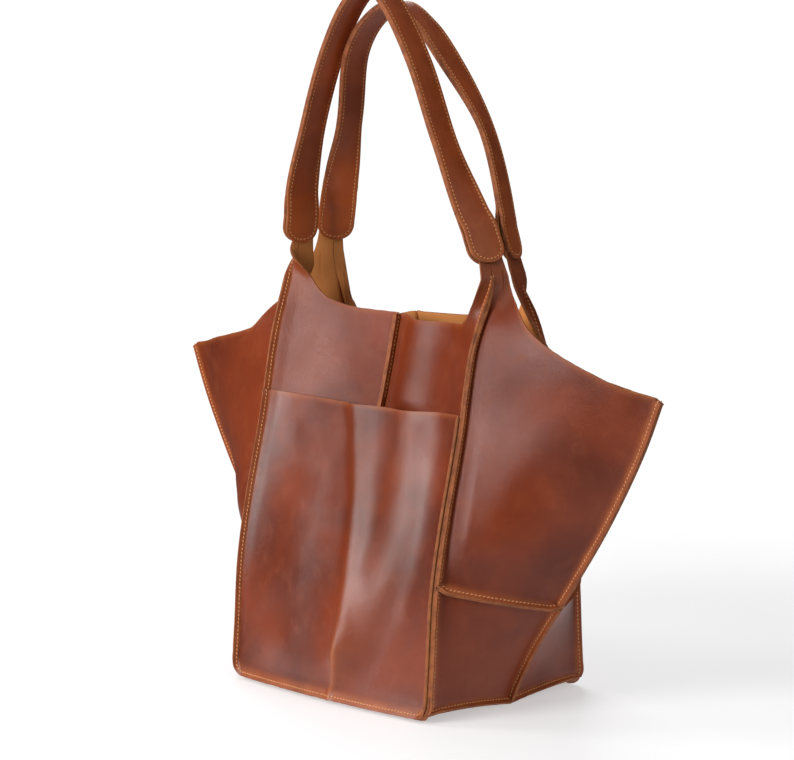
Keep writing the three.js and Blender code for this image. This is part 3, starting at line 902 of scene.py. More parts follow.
@dataclass(frozen=True)
class GrainLeather(Finish):
    """Waxed smooth leather that turns lighter where it is bent or rubbed."""

    deep: str
    body: str
    bright: str
    worn: str
    gloss: float = 0.40
    shine: float = 0.5
    dull_cloud: float = 0.06
    clear_cloud: float = 0.02
    rough_fleck: float = 0.08
    rough_wear: float = 0.12
    fleck: float = 0.3
    scuff: float = 0.2
    pores: float = 1150.0
    relief: tuple[float, float] = (0.35, 0.00035)

    def paint(self, easel: Easel) -> None:
        """Paints clouds, flecks, wear and scuffs over the leather's grain.

        Args:
            easel: the material to paint.
        """
        nodes = easel.nodes
        edge, pull = (
            nodes.add("ShaderNodeAttribute", attribute_name=label).outputs["Fac"]
            for label in ("edge", "pull")
        )
        mottle = easel.group(easel.effects.mottle)
        worn = easel.group(easel.effects.wear, Edge=edge, Pull=pull)["Worn"]
        grain = easel.group(easel.effects.grain, Pores=self.pores)
        tone = nodes.blend(mottle["Cloud"], colour(self.deep), colour(self.body))
        layers = (
            (easel.weigh(mottle["Fleck"], self.fleck), self.bright),
            (worn, self.worn),
            (easel.weigh(mottle["Scuff"], self.scuff), self.bright),
        )
        for share, code in layers:
            tone = nodes.blend(share, tone, colour(code))
        clouded = Span(0.0, 1.0, self.gloss + self.dull_cloud, self.gloss - self.clear_cloud)
        rough = nodes.span(mottle["Cloud"], clouded)
        for value, weight in ((mottle["Fleck"], self.rough_fleck), (worn, self.rough_wear)):
            rough = nodes.math("ADD", rough, easel.weigh(value, weight))
        easel.put({"Base Color": tone, "Roughness": rough, "Specular IOR Level": self.shine})
        easel.relieve(grain["Height"], *self.relief)


@dataclass(frozen=True)
class TwoTone(Finish):
    """A finish whose colour lies between two tones."""

    deep: str
    body: str

    def tone(self, easel: Easel, share: Socket) -> Socket:
        """The tone at a share from the deep one to the full one."""
        return easel.nodes.blend(share, colour(self.deep), colour(self.body))


@dataclass(frozen=True)
class SuedeNap(TwoTone):
    """The brushed inner side of the leather."""

    fibre: Noise = Noise(900, 6, 0.75, 0.8)
    fibre_share: float = 0.5
    cloud_share: float = 0.6
    roughness: Span = Span(0.2, 0.8, 0.98, 0.82)
    sheen: str = "e0b080"
    relief: tuple[float, float] = (0.5, 0.0004)

    def paint(self, easel: Easel) -> None:
        """Paints brushed fibres with a soft sheen.

        Args:
            easel: the material to paint.
        """
        fibre = easel.noise(self.fibre)
        clouds = easel.weigh(easel.group(easel.effects.mottle)["Cloud"], self.cloud_share)
        share = easel.nodes.math("ADD", clouds, easel.weigh(fibre, self.fibre_share))
        easel.put(
            {
                "Base Color": self.tone(easel, share),
                "Roughness": easel.nodes.span(fibre, self.roughness),
                "Specular IOR Level": 0.2,
                "Sheen Weight": 0.25,
                "Sheen Roughness": 0.5,
                "Sheen Tint": colour(self.sheen),
            }
        )
        easel.relieve(fibre, *self.relief)


@dataclass(frozen=True)
class RawEdge(TwoTone):
    """The cut edge of the leather, with its fibres showing."""

    fibre: Noise = Noise(1500, 5, 0.7, 0.4)
    fibre_span: Span = Span(0.25, 0.7, 0.5, 1.0)
    streak: Noise = Noise(160, 4, 0.6)
    streak_span: Span = Span(0.3, 0.65, 0.35, 1.0)
    scuff: float = 0.5
    roughness: Span = Span(0.2, 0.8, 0.9, 0.65)
    relief: tuple[float, float] = (0.6, 0.0003)

    def paint(self, easel: Easel) -> None:
        """Paints fibres and streaks, darker where the edge is scuffed.

        Args:
            easel: the material to paint.
        """
        nodes = easel.nodes
        fibre = easel.noise(self.fibre)
        streaks = nodes.span(easel.noise(self.streak), self.streak_span)
        share = nodes.math("MULTIPLY", streaks, nodes.span(fibre, self.fibre_span))
        dark = easel.weigh(easel.group(easel.effects.mottle)["Scuff"], self.scuff)
        tone = nodes.blend(dark, self.tone(easel, share), colour(self.deep))
        easel.put({"Base Color": tone, "Roughness": nodes.span(fibre, self.roughness)})
        easel.relieve(fibre, *self.relief)


@dataclass(frozen=True)
class WaxedThread(TwoTone):
    """Twisted sewing thread."""

    strand: Noise = Noise(2600, 2, 0.5)
    strand_span: Span = Span(0.35, 0.6, 0.2, 0.75)
    fleck: float = 0.35
    roughness: Span = Span(0.3, 0.7, 0.75, 0.55)
    relief: tuple[float, float] = (0.5, 0.0002)

    def paint(self, easel: Easel) -> None:
        """Paints the thread's strands.

        Args:
            easel: the material to paint.
        """
        nodes = easel.nodes
        strand = easel.noise(self.strand)
        flecks = easel.weigh(easel.group(easel.effects.mottle)["Fleck"], self.fleck)
        share = nodes.math("ADD", flecks, nodes.span(strand, self.strand_span))
        rough = nodes.span(strand, self.roughness)
        easel.put({"Base Color": self.tone(easel, share), "Roughness": rough})
        easel.relieve(strand, *self.relief)


@dataclass(frozen=True)
class StudioFloor(TwoTone):
    """A pale matt floor that fades out into the white round it."""

    name: str = "pale_floor"
    deep: str = "c3c2c4"
    body: str = "c6c6c7"
    clouds: Noise = Noise(2.0, 2, 0.5)
    fade: Span = Span(0.38, 0.95, 1.0, 0.0)

    def paint(self, easel: Easel) -> None:
        """Paints the floor.

        Args:
            easel: the material to paint.
        """
        nodes = easel.nodes
        far = nodes.add("ShaderNodeVectorMath", {"0": easel.place}, operation="LENGTH")
        easel.put(
            {
                "Base Color": self.tone(easel, easel.noise(self.clouds)),
                "Alpha": nodes.span(far.outputs["Value"], self.fade),
                "Roughness": 0.45,
                "Specular IOR Level": 0.3,
                "Emission Color": (1, 1, 1, 1),
                "Emission Strength": 0.45,
            }
        )


class Side(Enum):
    """The four sides of a sheet's grid, in the order that they are sewn."""

    FIRST_ROW = "first_row"
    LAST_ROW = "last_row"
    FIRST_COLUMN = "first_column"
    LAST_COLUMN = "last_column"

    def line(self, values: Array) -> Array:
        """A grid's values turned so that this side is the first of each line across it.

        Args:
            values: a value for each grid place.

        Returns:
            The same values, seen from this side.
        """
        turned = {
            Side.FIRST_ROW: np.swapaxes(values, 0, 1),
            Side.LAST_ROW: np.swapaxes(values[::-1], 0, 1),
            Side.FIRST_COLUMN: values,
            Side.LAST_COLUMN: values[:, ::-1],
        }
        return turned[self]

    def border(self, rows: int, columns: int) -> list[tuple[int, int]]:
        """The grid places along this side, in order round the grid.

        Args:
            rows: the grid's rows.
            columns: the grid's columns.

        Returns:
            Rows and columns of the places.
        """
        places = {
            Side.FIRST_ROW: [(0, c) for c in range(columns)],
            Side.LAST_COLUMN: [(r, columns - 1) for r in range(rows)],
            Side.LAST_ROW: [(rows - 1, c) for c in range(columns - 1, -1, -1)],
            Side.FIRST_COLUMN: [(r, 0) for r in range(rows - 1, -1, -1)],
        }
        return places[self]


ROUND_GRID = (Side.FIRST_ROW, Side.LAST_COLUMN, Side.LAST_ROW, Side.FIRST_COLUMN)


@dataclass
class StitchRun:
    """A row of stitches: places along it and the way that the leather faces there."""

    at: Array
    lay: Array


@dataclass
class Sheet:
    """A piece of leather: a grid of places on its middle, lips along its border, a thickness."""

    name: str
    at: Array
    outward: Array
    lip: Array | None = None
    pull: Array | None = None
    half: float = LEATHER / 2
    grain_rise: Number = 0.0
    nap_rise: Number = 0.0
    bent: Array = field(init=False, repr=False)
    ring: list[tuple[int, int]] = field(init=False, repr=False)
    chains: dict[tuple[int, int], list[int]] = field(init=False, repr=False)
    points: Array = field(init=False, repr=False)
    normals: Array = field(init=False, repr=False)
    faces: Array = field(init=False, repr=False)
    edges_far: Array = field(init=False, repr=False)
    pulls: Array = field(init=False, repr=False)
    grain_off: Array = field(init=False, repr=False)
    nap_off: Array = field(init=False, repr=False)

    def __post_init__(self) -> None:
        """Turns the grid so that its grain side is up, then bends and numbers its lips."""
        shape = self.at.shape[:2]
        self.lip = np.zeros_like(self.at) if self.lip is None else self.lip
        self.pull = np.zeros(shape) if self.pull is None else self.pull
        self.grain_rise = np.broadcast_to(self.grain_rise, shape)
        self.nap_rise = np.broadcast_to(self.nap_rise, shape)
        across = np.diff(self.at, axis=1)[:-1]
        along = np.diff(self.at, axis=0)[:, :-1]
        if (np.cross(across, along) @ self.outward).sum() < 0:
            for label in ("at", "lip", "pull", "grain_rise", "nap_rise"):
                setattr(self, label, getattr(self, label)[:, ::-1].copy())
        edge = self.edge_distance()
        self.bend_lips()
        self.number_points(edge)

    def edge_distance(self) -> Array:
        """How far each grid place is from the nearest side.

        Returns:
            A distance for each place.
        """
        nearest = np.full(self.at.shape[:2], np.inf)
        for side in Side:
            line = side.line(nearest)
            line[...] = np.minimum(line, travelled(side.line(self.at)))
        return nearest

    def bend_lips(self) -> None:
        """Rounds the bend from the wall into each lip."""
        self.bent = np.zeros_like(self.at)
        moved = np.zeros_like(self.at)
        for side in Side:
            line = side.line(self.at)
            lips = side.line(self.lip)[:, 0]
            length = np.linalg.norm(lips, axis=-1)
            far = travelled(line)
            past = np.argmax(far > SEAM_ROUND, axis=1)
            inward = unit(line[np.arange(len(line)), past] - line[:, 0])
            reach = SEAM_ROUND * np.minimum(1, length / LIP) * (length > LEAST_LIP)
            turn = (inward + unit(lips)) * reach[:, None]
            share = np.clip(1 - far / SEAM_ROUND, 0, 1) / 2
            shift = turn[:, None] * (share**2)[..., None]
            target = side.line(moved)
            bigger = np.linalg.norm(shift, axis=-1) > np.linalg.norm(target, axis=-1)
            target[bigger] = shift[bigger]
            side.line(self.bent)[:, 0] = turn
        self.at = self.at + moved

    def number_points(self, edge: Array) -> None:
        """Lists the points of the grid and of its lips, and their normals.

        Args:
            edge: how far each grid place is from the nearest side.
        """
        rows, columns = self.at.shape[:2]
        points, far, pulls = [self.at.reshape(-1, 3)], [edge.ravel()], [self.pull.ravel()]
        count = rows * columns
        self.chains = {}
        self.ring = [place for side in ROUND_GRID for place in side.border(rows, columns)[:-1]]
        shares = np.array(LIP_STEPS)
        for r, c in self.ring:
            length = np.linalg.norm(self.lip[r, c])
            if length <= LEAST_LIP:
                continue
            near = np.clip(1 - shares * length / SEAM_ROUND, 0, 1) / 2
            root = self.at[r, c] - self.bent[r, c] / 4
            turned = (near**2)[:, None] * self.bent[r, c]
            points.append(root + shares[:, None] * self.lip[r, c] + turned)
            far.append(-shares * length)
            pulls.append(np.full(len(shares), self.pull[r, c]))
            self.chains[r, c] = list(range(count, count + len(shares)))
            count += len(shares)
        self.points, self.edges_far, self.pulls = map(np.concatenate, (points, far, pulls))
        swell = LIP_SWELL * np.maximum(0, -self.edges_far) / LIP
        on_lips = (0, count - rows * columns)
        self.grain_off = self.half + swell + np.pad(self.grain_rise.ravel(), on_lips)
        self.nap_off = self.half + swell + np.pad(self.nap_rise.ravel(), on_lips)
        self.faces = self.list_faces()
        self.normals = self.point_normals()

    def list_faces(self) -> Array:
        """The four-sided faces of the grid and of its lips.

        Returns:
            Four point numbers for each face.
        """
        rows, columns = self.at.shape[:2]
        first = (np.arange(rows - 1)[:, None] * columns + np.arange(columns - 1)).ravel()
        faces = [np.stack([first, first + 1, first + columns + 1, first + columns], -1)]
        for k, (r, c) in enumerate(self.ring):
            after = self.ring[(k + 1) % len(self.ring)]
            if (r, c) not in self.chains or after not in self.chains:
                continue
            here = [r * columns + c, *self.chains[r, c]]
            there = [after[0] * columns + after[1], *self.chains[after]]
            strip = [(there[n], here[n], here[n + 1], there[n + 1]) for n in range(len(here) - 1)]
            faces.append(np.array(strip))
        return np.concatenate(faces)

    def point_normals(self) -> Array:
        """The way that the leather faces at each point.

        Returns:
            Directions of length one.
        """
        a, b, c, d = (self.points[self.faces[:, k]] for k in range(4))
        flat = unit(np.cross(c - a, d - b))
        total = np.zeros_like(self.points)
        for k in range(4):
            np.add.at(total, self.faces[:, k], flat)
        return unit(total)

    def grain(self) -> Array:
        """The points of the grain side."""
        return self.points + self.normals * self.grain_off[:, None]

    def nap(self) -> Array:
        """The points of the nap side."""
        return self.points - self.normals * self.nap_off[:, None]

    def rim(self) -> tuple[Array, Array, Array]:
        """The cut edge round the sheet.

        Returns:
            The directed edges along it, the numbers of its points, and those points, rounded.
        """
        pairs = np.concatenate([self.faces[:, [k, (k + 1) % 4]] for k in range(4)])
        count = len(self.points)
        codes = pairs[:, 0] * count + pairs[:, 1]
        back = pairs[:, 1] * count + pairs[:, 0]
        edges = pairs[~np.isin(codes, back)]
        first, last = edges.T
        across = np.cross(self.points[last] - self.points[first], self.normals[first])
        outward = np.zeros_like(self.points)
        for ends in (first, last):
            np.add.at(outward, ends, unit(across))
        on_rim = np.unique(edges)
        middle = (self.grain()[on_rim] + self.nap()[on_rim]) / 2
        reach = EDGE_ROUND * (1 + EDGE_LIE.rise(middle))
        return edges, on_rim, middle + unit(outward[on_rim]) * reach[:, None]

    def stitch_runs(self, above: float = -math.inf) -> list[StitchRun]:
        """Rows of stitches along the lips, on the grain side.

        Args:
            above: the height that stitches start from.

        Returns:
            One row for each unbroken stretch.
        """
        grain = self.grain()
        step = LIP_STEPS.index(STITCH_SHARE)
        runs = []
        for side in Side:
            found = [self.chains.get(place) for place in side.border(*self.at.shape[:2])]
            numbers = [chain[step] if chain else -1 for chain in found]
            stretch: list[int] = []
            for number in [*numbers, -1]:
                if number >= 0 and grain[number, 2] > above:
                    stretch.append(number)
                    continue
                if len(stretch) >= LEAST_RUN:
                    runs.append(StitchRun(grain[stretch], self.normals[stretch]))
                stretch = []
        return runs

    def build(self, materials: Sequence[bpy.types.Material]) -> bpy.types.Object:
        """Makes the closed mesh.

        Args:
            materials: those of the grain side, the nap side and the cut edge.

        Returns:
            The object, in metres.
        """
        count = len(self.points)
        edges, on_rim, middle = self.rim()
        first, last = edges.T
        mid_first, mid_last = (2 * count + np.searchsorted(on_rim, end) for end in (first, last))
        upper = np.stack([first, mid_first, mid_last, last], -1)
        lower = np.stack([mid_first, first + count, last + count, mid_last], -1)
        faces = np.concatenate([self.faces, self.faces[:, ::-1] + count, upper, lower])
        sizes = [len(self.faces), len(self.faces), len(upper) + len(lower)]
        mesh = bpy.data.meshes.new(self.name)
        places = np.concatenate([self.grain(), self.nap(), middle]) * MM
        mesh.from_pydata(places.tolist(), [], faces.tolist())
        mesh.polygons.foreach_set("material_index", np.repeat([0, 1, 2], sizes).astype(np.int32))
        mesh.polygons.foreach_set("use_smooth", np.ones(len(faces), bool))
        for material in materials:
            mesh.materials.append(material)
        for label, values in (("edge", self.edges_far * MM), ("pull", self.pulls)):
            full = np.concatenate([values, values, values[on_rim]]).astype(np.float32)
            mesh.attributes.new(label, "FLOAT", "POINT").data.foreach_set("value", full)
        self.sharpen(mesh, np.concatenate([edges, edges + count]))
        mesh.validate()
        return link(self.name, mesh)

    def sharpen(self, mesh: bpy.types.Mesh, edges: Array) -> None:
        """Keeps the shading crisp where the sides meet the cut edge.

        Args:
            mesh: the sheet's mesh.
            edges: the edges to keep crisp, as pairs of points.
        """
        mesh.update(calc_edges=True)
        pairs = np.zeros(len(mesh.edges) * 2, np.int32)
        mesh.edges.foreach_get("vertices", pairs)
        low, high = np.sort(pairs.reshape(-1, 2), axis=1).T
        ends = np.sort(edges, axis=1)
        total = len(mesh.vertices)
        sharp = np.isin(low.astype(np.int64) * total + high, ends[:, 0] * total + ends[:, 1])
        mesh.attributes.new("sharp_edge", "BOOLEAN", "EDGE").data.foreach_set("value", sharp)


@dataclass(frozen=True)
class Fold:
    """A soft fold up a wall: its place at each height, its width to each hand, and its height."""

    path: Curve
    left: float
    right: float
    height: float
    low: float
    high: float
    fade: float = 30.0

    def rise(self, x: Array, z: Array) -> Array:
        """How far the fold lifts the leather.

        Args:
            x: places across.
            z: heights.

        Returns:
            The lift at those places.
        """
        off = x - self.path(z)
        width = np.where(off < 0, self.left, self.right)
        starts = ease(z, self.low, self.low + self.fade)
        ends = starts * (1 - ease(z, self.high - self.fade, self.high))
        return self.height * np.exp(-((off / width) ** 2)) * ends


@dataclass(frozen=True)
class TabPull:
    """Leather that is drawn light where it is pulled up into a tab."""

    heights: Ramp
    most: float = 0.5
    near: Ramp = Ramp(20, 70)

    def __call__(self, z: Array, far: Array) -> Array:
        """How light it is at heights and distances from the corner seam."""
        return self.most * self.heights(z) * (1 - self.near(far)) + 0 * z


@dataclass(frozen=True)
class PanelHalf:
    """One half of the front or back wall, from its corner seam to its centre seam."""

    name: str
    corner: Corner
    covered: bool
    folds: tuple[Fold, ...] = ()
    rows: int = 110
    foot_rows: tuple[float, ...] = (0.004, 0.014)
    shoulder: tuple[float, float, int] = (2, DIP_FULL, 30)
    breadth: tuple[float, float, int] = (DIP_FULL, HALF_WIDTH - 4, 30)
    centre: tuple[float, ...] = (HALF_WIDTH - 2.2, HALF_WIDTH - 1, HALF_WIDTH)
    lip_shown: Ramp = Ramp(POCKET_TOP - 45, POCKET_TOP - 10)
    free_covered: Ramp = Ramp(POCKET_TOP - 40, POCKET_TOP + 5)
    free_bare: Ramp = Ramp(20, 70)
    swells: tuple[Swell, Swell] = (Swell(1.1, 95, 11), Swell(0.25, 34, 12))
    clear_corner: Ramp = Ramp(4, 40)
    clear_centre: Ramp = Ramp(0, 24)
    fold_start: Ramp = Ramp(2, 40)
    pull: TabPull = TabPull(Ramp(318, 372))

    def columns(self) -> Array:
        """Distances in from the corner seam."""
        spaced = (np.linspace(*self.shoulder), np.linspace(*self.breadth))
        return merged(round_columns(), *spaced, self.centre)

    def centre_lip(self, z: Array) -> Array:
        """How far the centre seam's lip stands out at a height."""
        shown = mix(CENTRE_LIP_COVERED, LIP, self.lip_shown(z)) if self.covered else LIP
        return shown * CENTRE_OPENS(z)

    def wall(self, inward: Array, z: Array) -> Array:
        """Places on the wall, before it is sewn.

        Args:
            inward: distances in from the corner seam.
            z: heights.

        Returns:
            The places.
        """
        corner = self.corner
        x = corner.reach(z) * (1 - inward / HALF_WIDTH)
        across = corner.across * x
        free = self.free_covered(z) if self.covered else self.free_bare(z)
        away = self.clear_corner(inward) * self.clear_centre(HALF_WIDTH - inward) * free
        flat = vector(across, 0 * z, z)
        uneven = away * sum(swell.rise(flat) for swell in self.swells)
        lifted = sum((fold.rise(across, z) for fold in self.folds), np.zeros_like(z))
        depth = corner.wall_depth(x, z) + uneven + lifted * (self.fold_start(inward) * free)
        return vector(across, corner.along * depth, z)

    def sheet(self) -> Sheet:
        """Works out the half.

        Returns:
            Its sheet of leather.
        """
        corner = self.corner
        inward = self.columns()[None]
        share = merged(np.linspace(0, 1, self.rows), self.foot_rows)[:, None]
        rise = foot_rise(inward)
        z = mix(rise, corner.mouth(inward), share)
        seam, foot = corner.seam(z), corner.foot(inward)
        fold = ease(z, corner.bend, corner.flat) * (1 - ease(inward, TAB_WIDTH, PANEL_FOLD))
        at = mix(self.wall(inward, z), seam.at - seam.side * inward[..., None], fold[..., None])
        at_foot, at_side = hems(inward, z - rise)
        at = at - seam.side * (corner.ply(z) * at_side)[..., None]
        at = at - foot.side * (HALF_PLY * at_foot)[..., None]
        middle = z[:, -1]
        at[:, -1, 0] = corner.across * mix(CENTRE_BUTTED, HALF_PLY, CENTRE_OPENS(middle))
        lip = np.zeros_like(at)
        lip[:, -1, 1] = corner.along * self.centre_lip(middle)
        lip[0] = foot.lip[0] * LIP
        lip[:, 0] = seam.lip[:, 0] * corner.lip(z[:, 0])[:, None]
        facing = np.array([0, corner.along, 0])
        return Sheet(self.name + "_leather", at, facing, lip, self.pull(z, inward))


@dataclass(frozen=True)
class FrontPocket:
    """The pocket, sewn in along both front corner seams and the foot."""

    name: str
    folds: tuple[Fold, ...]
    crease: Fold
    rows: int = 84
    foot_rows: tuple[float, ...] = (0.006, 0.02)
    breadth: tuple[float, float, int] = (TAB_WIDTH, HALF_WIDTH - 8, 52)
    centre: tuple[float, float, int] = (HALF_WIDTH - 8, HALF_WIDTH, 9)
    room_left: Ramp = Ramp(0, 85)
    room_right: Ramp = Ramp(0, 56)
    fold_start: Ramp = Ramp(10, 40)
    fold_foot: Ramp = Ramp(BASE_LIFT, 52)
    swells: tuple[Swell, Swell] = (Swell(0.7, 80, 21), Swell(0.2, 30, 22))
    crease_pull: float = 0.7
    fold_pull: float = 0.02

    def room(self, x: Array, z: Array) -> Array:
        """How far the pocket stands out from the front.

        Args:
            x: places across.
            z: heights.

        Returns:
            The room behind it at those places.
        """
        inward = HALF_WIDTH - np.abs(x)
        arch = np.sqrt(np.maximum(0, 1 - (x / HALF_WIDTH) ** 2))
        full = np.where(x < 0, self.room_left(inward), self.room_right(POCKET_FULL(z) - x))
        ends = self.fold_start(inward) * self.fold_foot(z)
        folds = sum(fold.rise(x, z) for fold in self.folds)
        flat = vector(x, 0 * z, z)
        uneven = sum(swell.rise(flat) for swell in self.swells)
        return POCKET_ROOM(z) * arch * full + (folds + uneven) * ends + self.crease.rise(x, z)

    def half(self, corner: Corner) -> tuple[Array, Array, Array]:
        """Works out one half of the pocket.

        Args:
            corner: the corner that it is sewn to.

        Returns:
            The grid of the half from its corner to the middle, its lips and its pull.
        """
        spaced = (np.linspace(*self.breadth), np.linspace(*self.centre))
        inward = merged(round_columns(), *spaced)[None]
        share = merged(np.linspace(0, 1, self.rows), self.foot_rows)[:, None]
        across = HALF_WIDTH - inward
        rise = foot_rise(inward)
        z = mix(rise, POCKET_TOP - POCKET_SAG * (1 - (across / HALF_WIDTH) ** 2), share)
        seam, foot = corner.seam(z), corner.foot(inward)
        at_foot, at_side = hems(inward, z - rise)
        x = corner.across * across + 0 * z
        room = self.room(x, z) * (1 - at_foot) + self.crease.rise(x, z) * at_foot
        stand = room + POCKET_PLY * (1 - (at_foot + at_side))
        at = vector(x, corner.along * (corner.wall_depth(across + 0 * z, z) + stand), z)
        for rim, weight in ((foot, at_foot), (seam, at_side)):
            at = at + (rim.nested * POCKET_PLY - rim.side * HALF_PLY) * weight[..., None]
        lip = np.zeros_like(at)
        lip[0] = foot.lip[0] * LIP
        lip[:, 0] = seam.lip[:, 0] * LIP
        return at, lip, self.pull(x, z)

    def pull(self, x: Array, z: Array) -> Array:
        """How much the pocket's folds and its crease are drawn light.

        Args:
            x: places across.
            z: heights.

        Returns:
            Shares from 0 to 1.
        """
        ridge = self.crease.rise(x, z) / self.crease.height
        folds = sum(np.maximum(0, fold.rise(x, z)) for fold in self.folds)
        return np.clip(self.crease_pull * ridge + self.fold_pull * folds, 0, 1)

    def sheet(self) -> Sheet:
        """Works out the pocket.

        Returns:
            Its sheet of leather.
        """
        left, right = (self.half(CORNERS[place]) for place in ("front_left", "front_right"))
        joined = (np.concatenate([a, b[:, -2::-1]], axis=1) for a, b in zip(left, right))
        at, lip, pull = joined
        return Sheet(self.name + "_leather", at, np.array([0, -1, 0]), lip, pull)


@dataclass(frozen=True)
class SideWall:
    """A side wall between two heights, sewn to its corner, to the side's middle and across."""

    name: str
    corner: Corner
    low: Callable[[Array], Array]
    high: Callable[[Array], Array]
    open_top: bool
    rows: int
    swell: float
    columns: tuple[tuple[float, float, int], ...] = (
        (0, 0.02, 5), (0.02, 0.2, 22), (0.2, 0.98, 46), (0.98, 1, 4),
    )
    low_rows: tuple[float, ...] = (0.015, 0.04)
    high_rows: tuple[float, ...] = (0.96, 0.985)
    facing: tuple[float, float] = (85.0, 98.0)
    broad_wave: float = 90
    broad_seed: int = 31
    fine: Swell = Swell(0.25, 32, 41)
    clear_corner: Ramp = Ramp(4, 45)
    clear_edge: Ramp = Ramp(2, 40)
    clear_cross: Ramp = Ramp(2, 30)
    clear_tab: Ramp = Ramp(300, 350)
    puff: float = 6.5
    puff_crest: Ramp = Ramp(0, 20)
    puff_end: Ramp = Ramp(20, 110)
    puff_foot: Ramp = Ramp(0, 45)
    puff_top: Ramp = Ramp(150, 275)
    pull: TabPull = TabPull(Ramp(322, 376))

    def bump(self, at: Array, far: Array, left: Array, over: Array, under: Array) -> Array:
        """How far the wall swells out.

        Args:
            at: places on the wall.
            far: their distances from the corner seam.
            left: their distances from the middle seam.
            over: their heights over the wall's low edge.
            under: how far they are under its high edge.

        Returns:
            The swell at those places.
        """
        z = at[..., 2]
        away = self.clear_corner(far) * self.clear_edge(left) * self.clear_cross(over)
        away = away * (1 if self.open_top else self.clear_cross(under)) * (1 - self.clear_tab(z))
        broad = Swell(1.0, self.broad_wave, self.broad_seed + len(self.name))
        bump = self.swell * away * (broad.rise(at) + self.fine.rise(at))
        if not self.open_top:
            return bump
        crest = self.puff_crest(far) * (1 - self.puff_end(far))
        return bump + self.puff * crest * self.puff_foot(over) * (1 - self.puff_top(z))

    def sheet(self) -> Sheet:
        """Works out the wall.

        Returns:
            Its sheet of leather.
        """
        corner = self.corner
        out = merged(*(np.linspace(*part) for part in self.columns))[None]
        ends = self.low_rows if self.open_top else self.low_rows + self.high_rows
        share = merged(np.linspace(0, 1, self.rows), ends)[:, None]
        z = mix(self.low(out), self.high(out), share)
        wide = out + 0 * z
        length = np.linalg.norm(corner.run(z), axis=-1)
        far, left = wide * length, (1 - wide) * length
        over, under = z - self.low(out), self.high(out) - z
        seam = corner.seam(z)
        at = corner.side_point(wide, z)
        outward = unit(vector(corner.across * self.facing[0], corner.along * self.facing[1], 0))
        at = at + outward * self.bump(at, far, left, over, under)[..., None]
        at = at + seam.side * (corner.ply(z) * (1 - ease(far, 0, SEAM_EASE)))[..., None]
        at[..., 1] += corner.along * HALF_PLY * (1 - ease(left, 0, SEAM_EASE))
        lip = np.zeros_like(at)
        lip[:, 0] = seam.lip[:, 0] * corner.lip(z[:, 0])[:, None]
        lip[:, -1] = corner.edge_lip(z[:, -1]) * LIP
        crossings = [(0, self.low, over, 1)]
        if not self.open_top:
            crossings.append((-1, self.high, under, -1))
        for row, height, inside, way in crossings:
            crossing = corner.across_seam(out[0], height)
            off = way * HALF_PLY * (1 - ease(inside, 0, SEAM_EASE))
            at = at + crossing.side * off[..., None]
            lip[row] = crossing.lip * LIP
        facing = np.array([corner.across, corner.along, 0.0])
        return Sheet(self.name + "_leather", at, facing, lip, self.pull(z, far))


@dataclass(frozen=True)
class BasePanel:
    """The base, flat on the floor, with a border that slopes up to the seams round it."""

    name: str
    columns: int = 65
    rows: int = 57
    border: tuple[float, ...] = (0.9, 0.94, 0.97, 0.985, 0.993)

    def foot(self, end: str, u: Array) -> Seam:
        """The seam along the foot of the front or the back.

        Args:
            end: which of the two.
            u: shares of the half width, below 0 on the left.

        Returns:
            The seam at those places.
        """
        inward = HALF_WIDTH - (HALF_WIDTH - CORNER_INSET) * np.abs(u)
        left, right = (CORNERS[f"{end}_{hand}"].foot(inward) for hand in ("left", "right"))
        return self.joined(u, left, right)

    def flank(self, hand: str, w: Array) -> Seam:
        """The bottom seam of a side at shares of the half depth."""
        ends = [CORNERS[f"{end}_{hand}"] for end in ("front", "back")]
        return self.joined(w, *(corner.across_seam(1 - np.abs(w), foot_height) for corner in ends))

    def joined(self, sign: Array, low: Seam, high: Seam) -> Seam:
        """One seam of two, the first where the sign is below 0."""
        pairs = ((low.at, high.at), (low.lip, high.lip), (low.side, high.side))
        return Seam(*(np.where(sign[..., None] < 0, first, second) for first, second in pairs))

    def sheet(self) -> Sheet:
        """Works out the base.

        Returns:
            Its sheet of leather.
        """
        border = (*self.border, *(-b for b in self.border))
        u = merged(np.linspace(-1, 1, self.columns), border)
        w = merged(np.linspace(-1, 1, self.rows), border)
        fore, aft = self.foot("front", u), self.foot("back", u)
        left, right = self.flank("left", w), self.flank("right", w)
        v, h = ((w + 1) / 2)[:, None, None], ((u + 1) / 2)[None, :, None]
        corners = mix(mix(fore.at[0], fore.at[-1], h), mix(aft.at[0], aft.at[-1], h), v)
        fore_aft = mix(fore.at[None], aft.at[None], v)
        at = fore_aft + mix(left.at[:, None], right.at[:, None], h) - corners
        in_u = (1 - np.abs(u))[None] * HALF_WIDTH + 0 * w[:, None]
        in_w = (1 - np.abs(w))[:, None] * CORNER_DEPTH(0) + 0 * u[None]
        edge = np.minimum(in_u, in_w)
        at[..., 2] = mix(at[..., 2], LEATHER / 2, ease(edge, 0, BASE_SLOPE))
        near_u, near_w = (HALF_PLY * (1 - ease(inside, 0, SEAM_EASE)) for inside in (in_u, in_w))
        lip = np.zeros_like(at)
        for column, seam, half in ((0, left, u < 0), (-1, right, u >= 0)):
            at = at - seam.side[:, None] * (near_u * half[None])[..., None]
            lip[:, column] = seam.lip * LIP
        for row, seam, half in ((0, fore, w < 0), (-1, aft, w >= 0)):
            at = at + seam.side[None] * (near_w * half[:, None])[..., None]
            lip[row] = seam.lip * LIP
        return Sheet(self.name + "_leather", at, np.array([0, 0, -1.0]), lip)


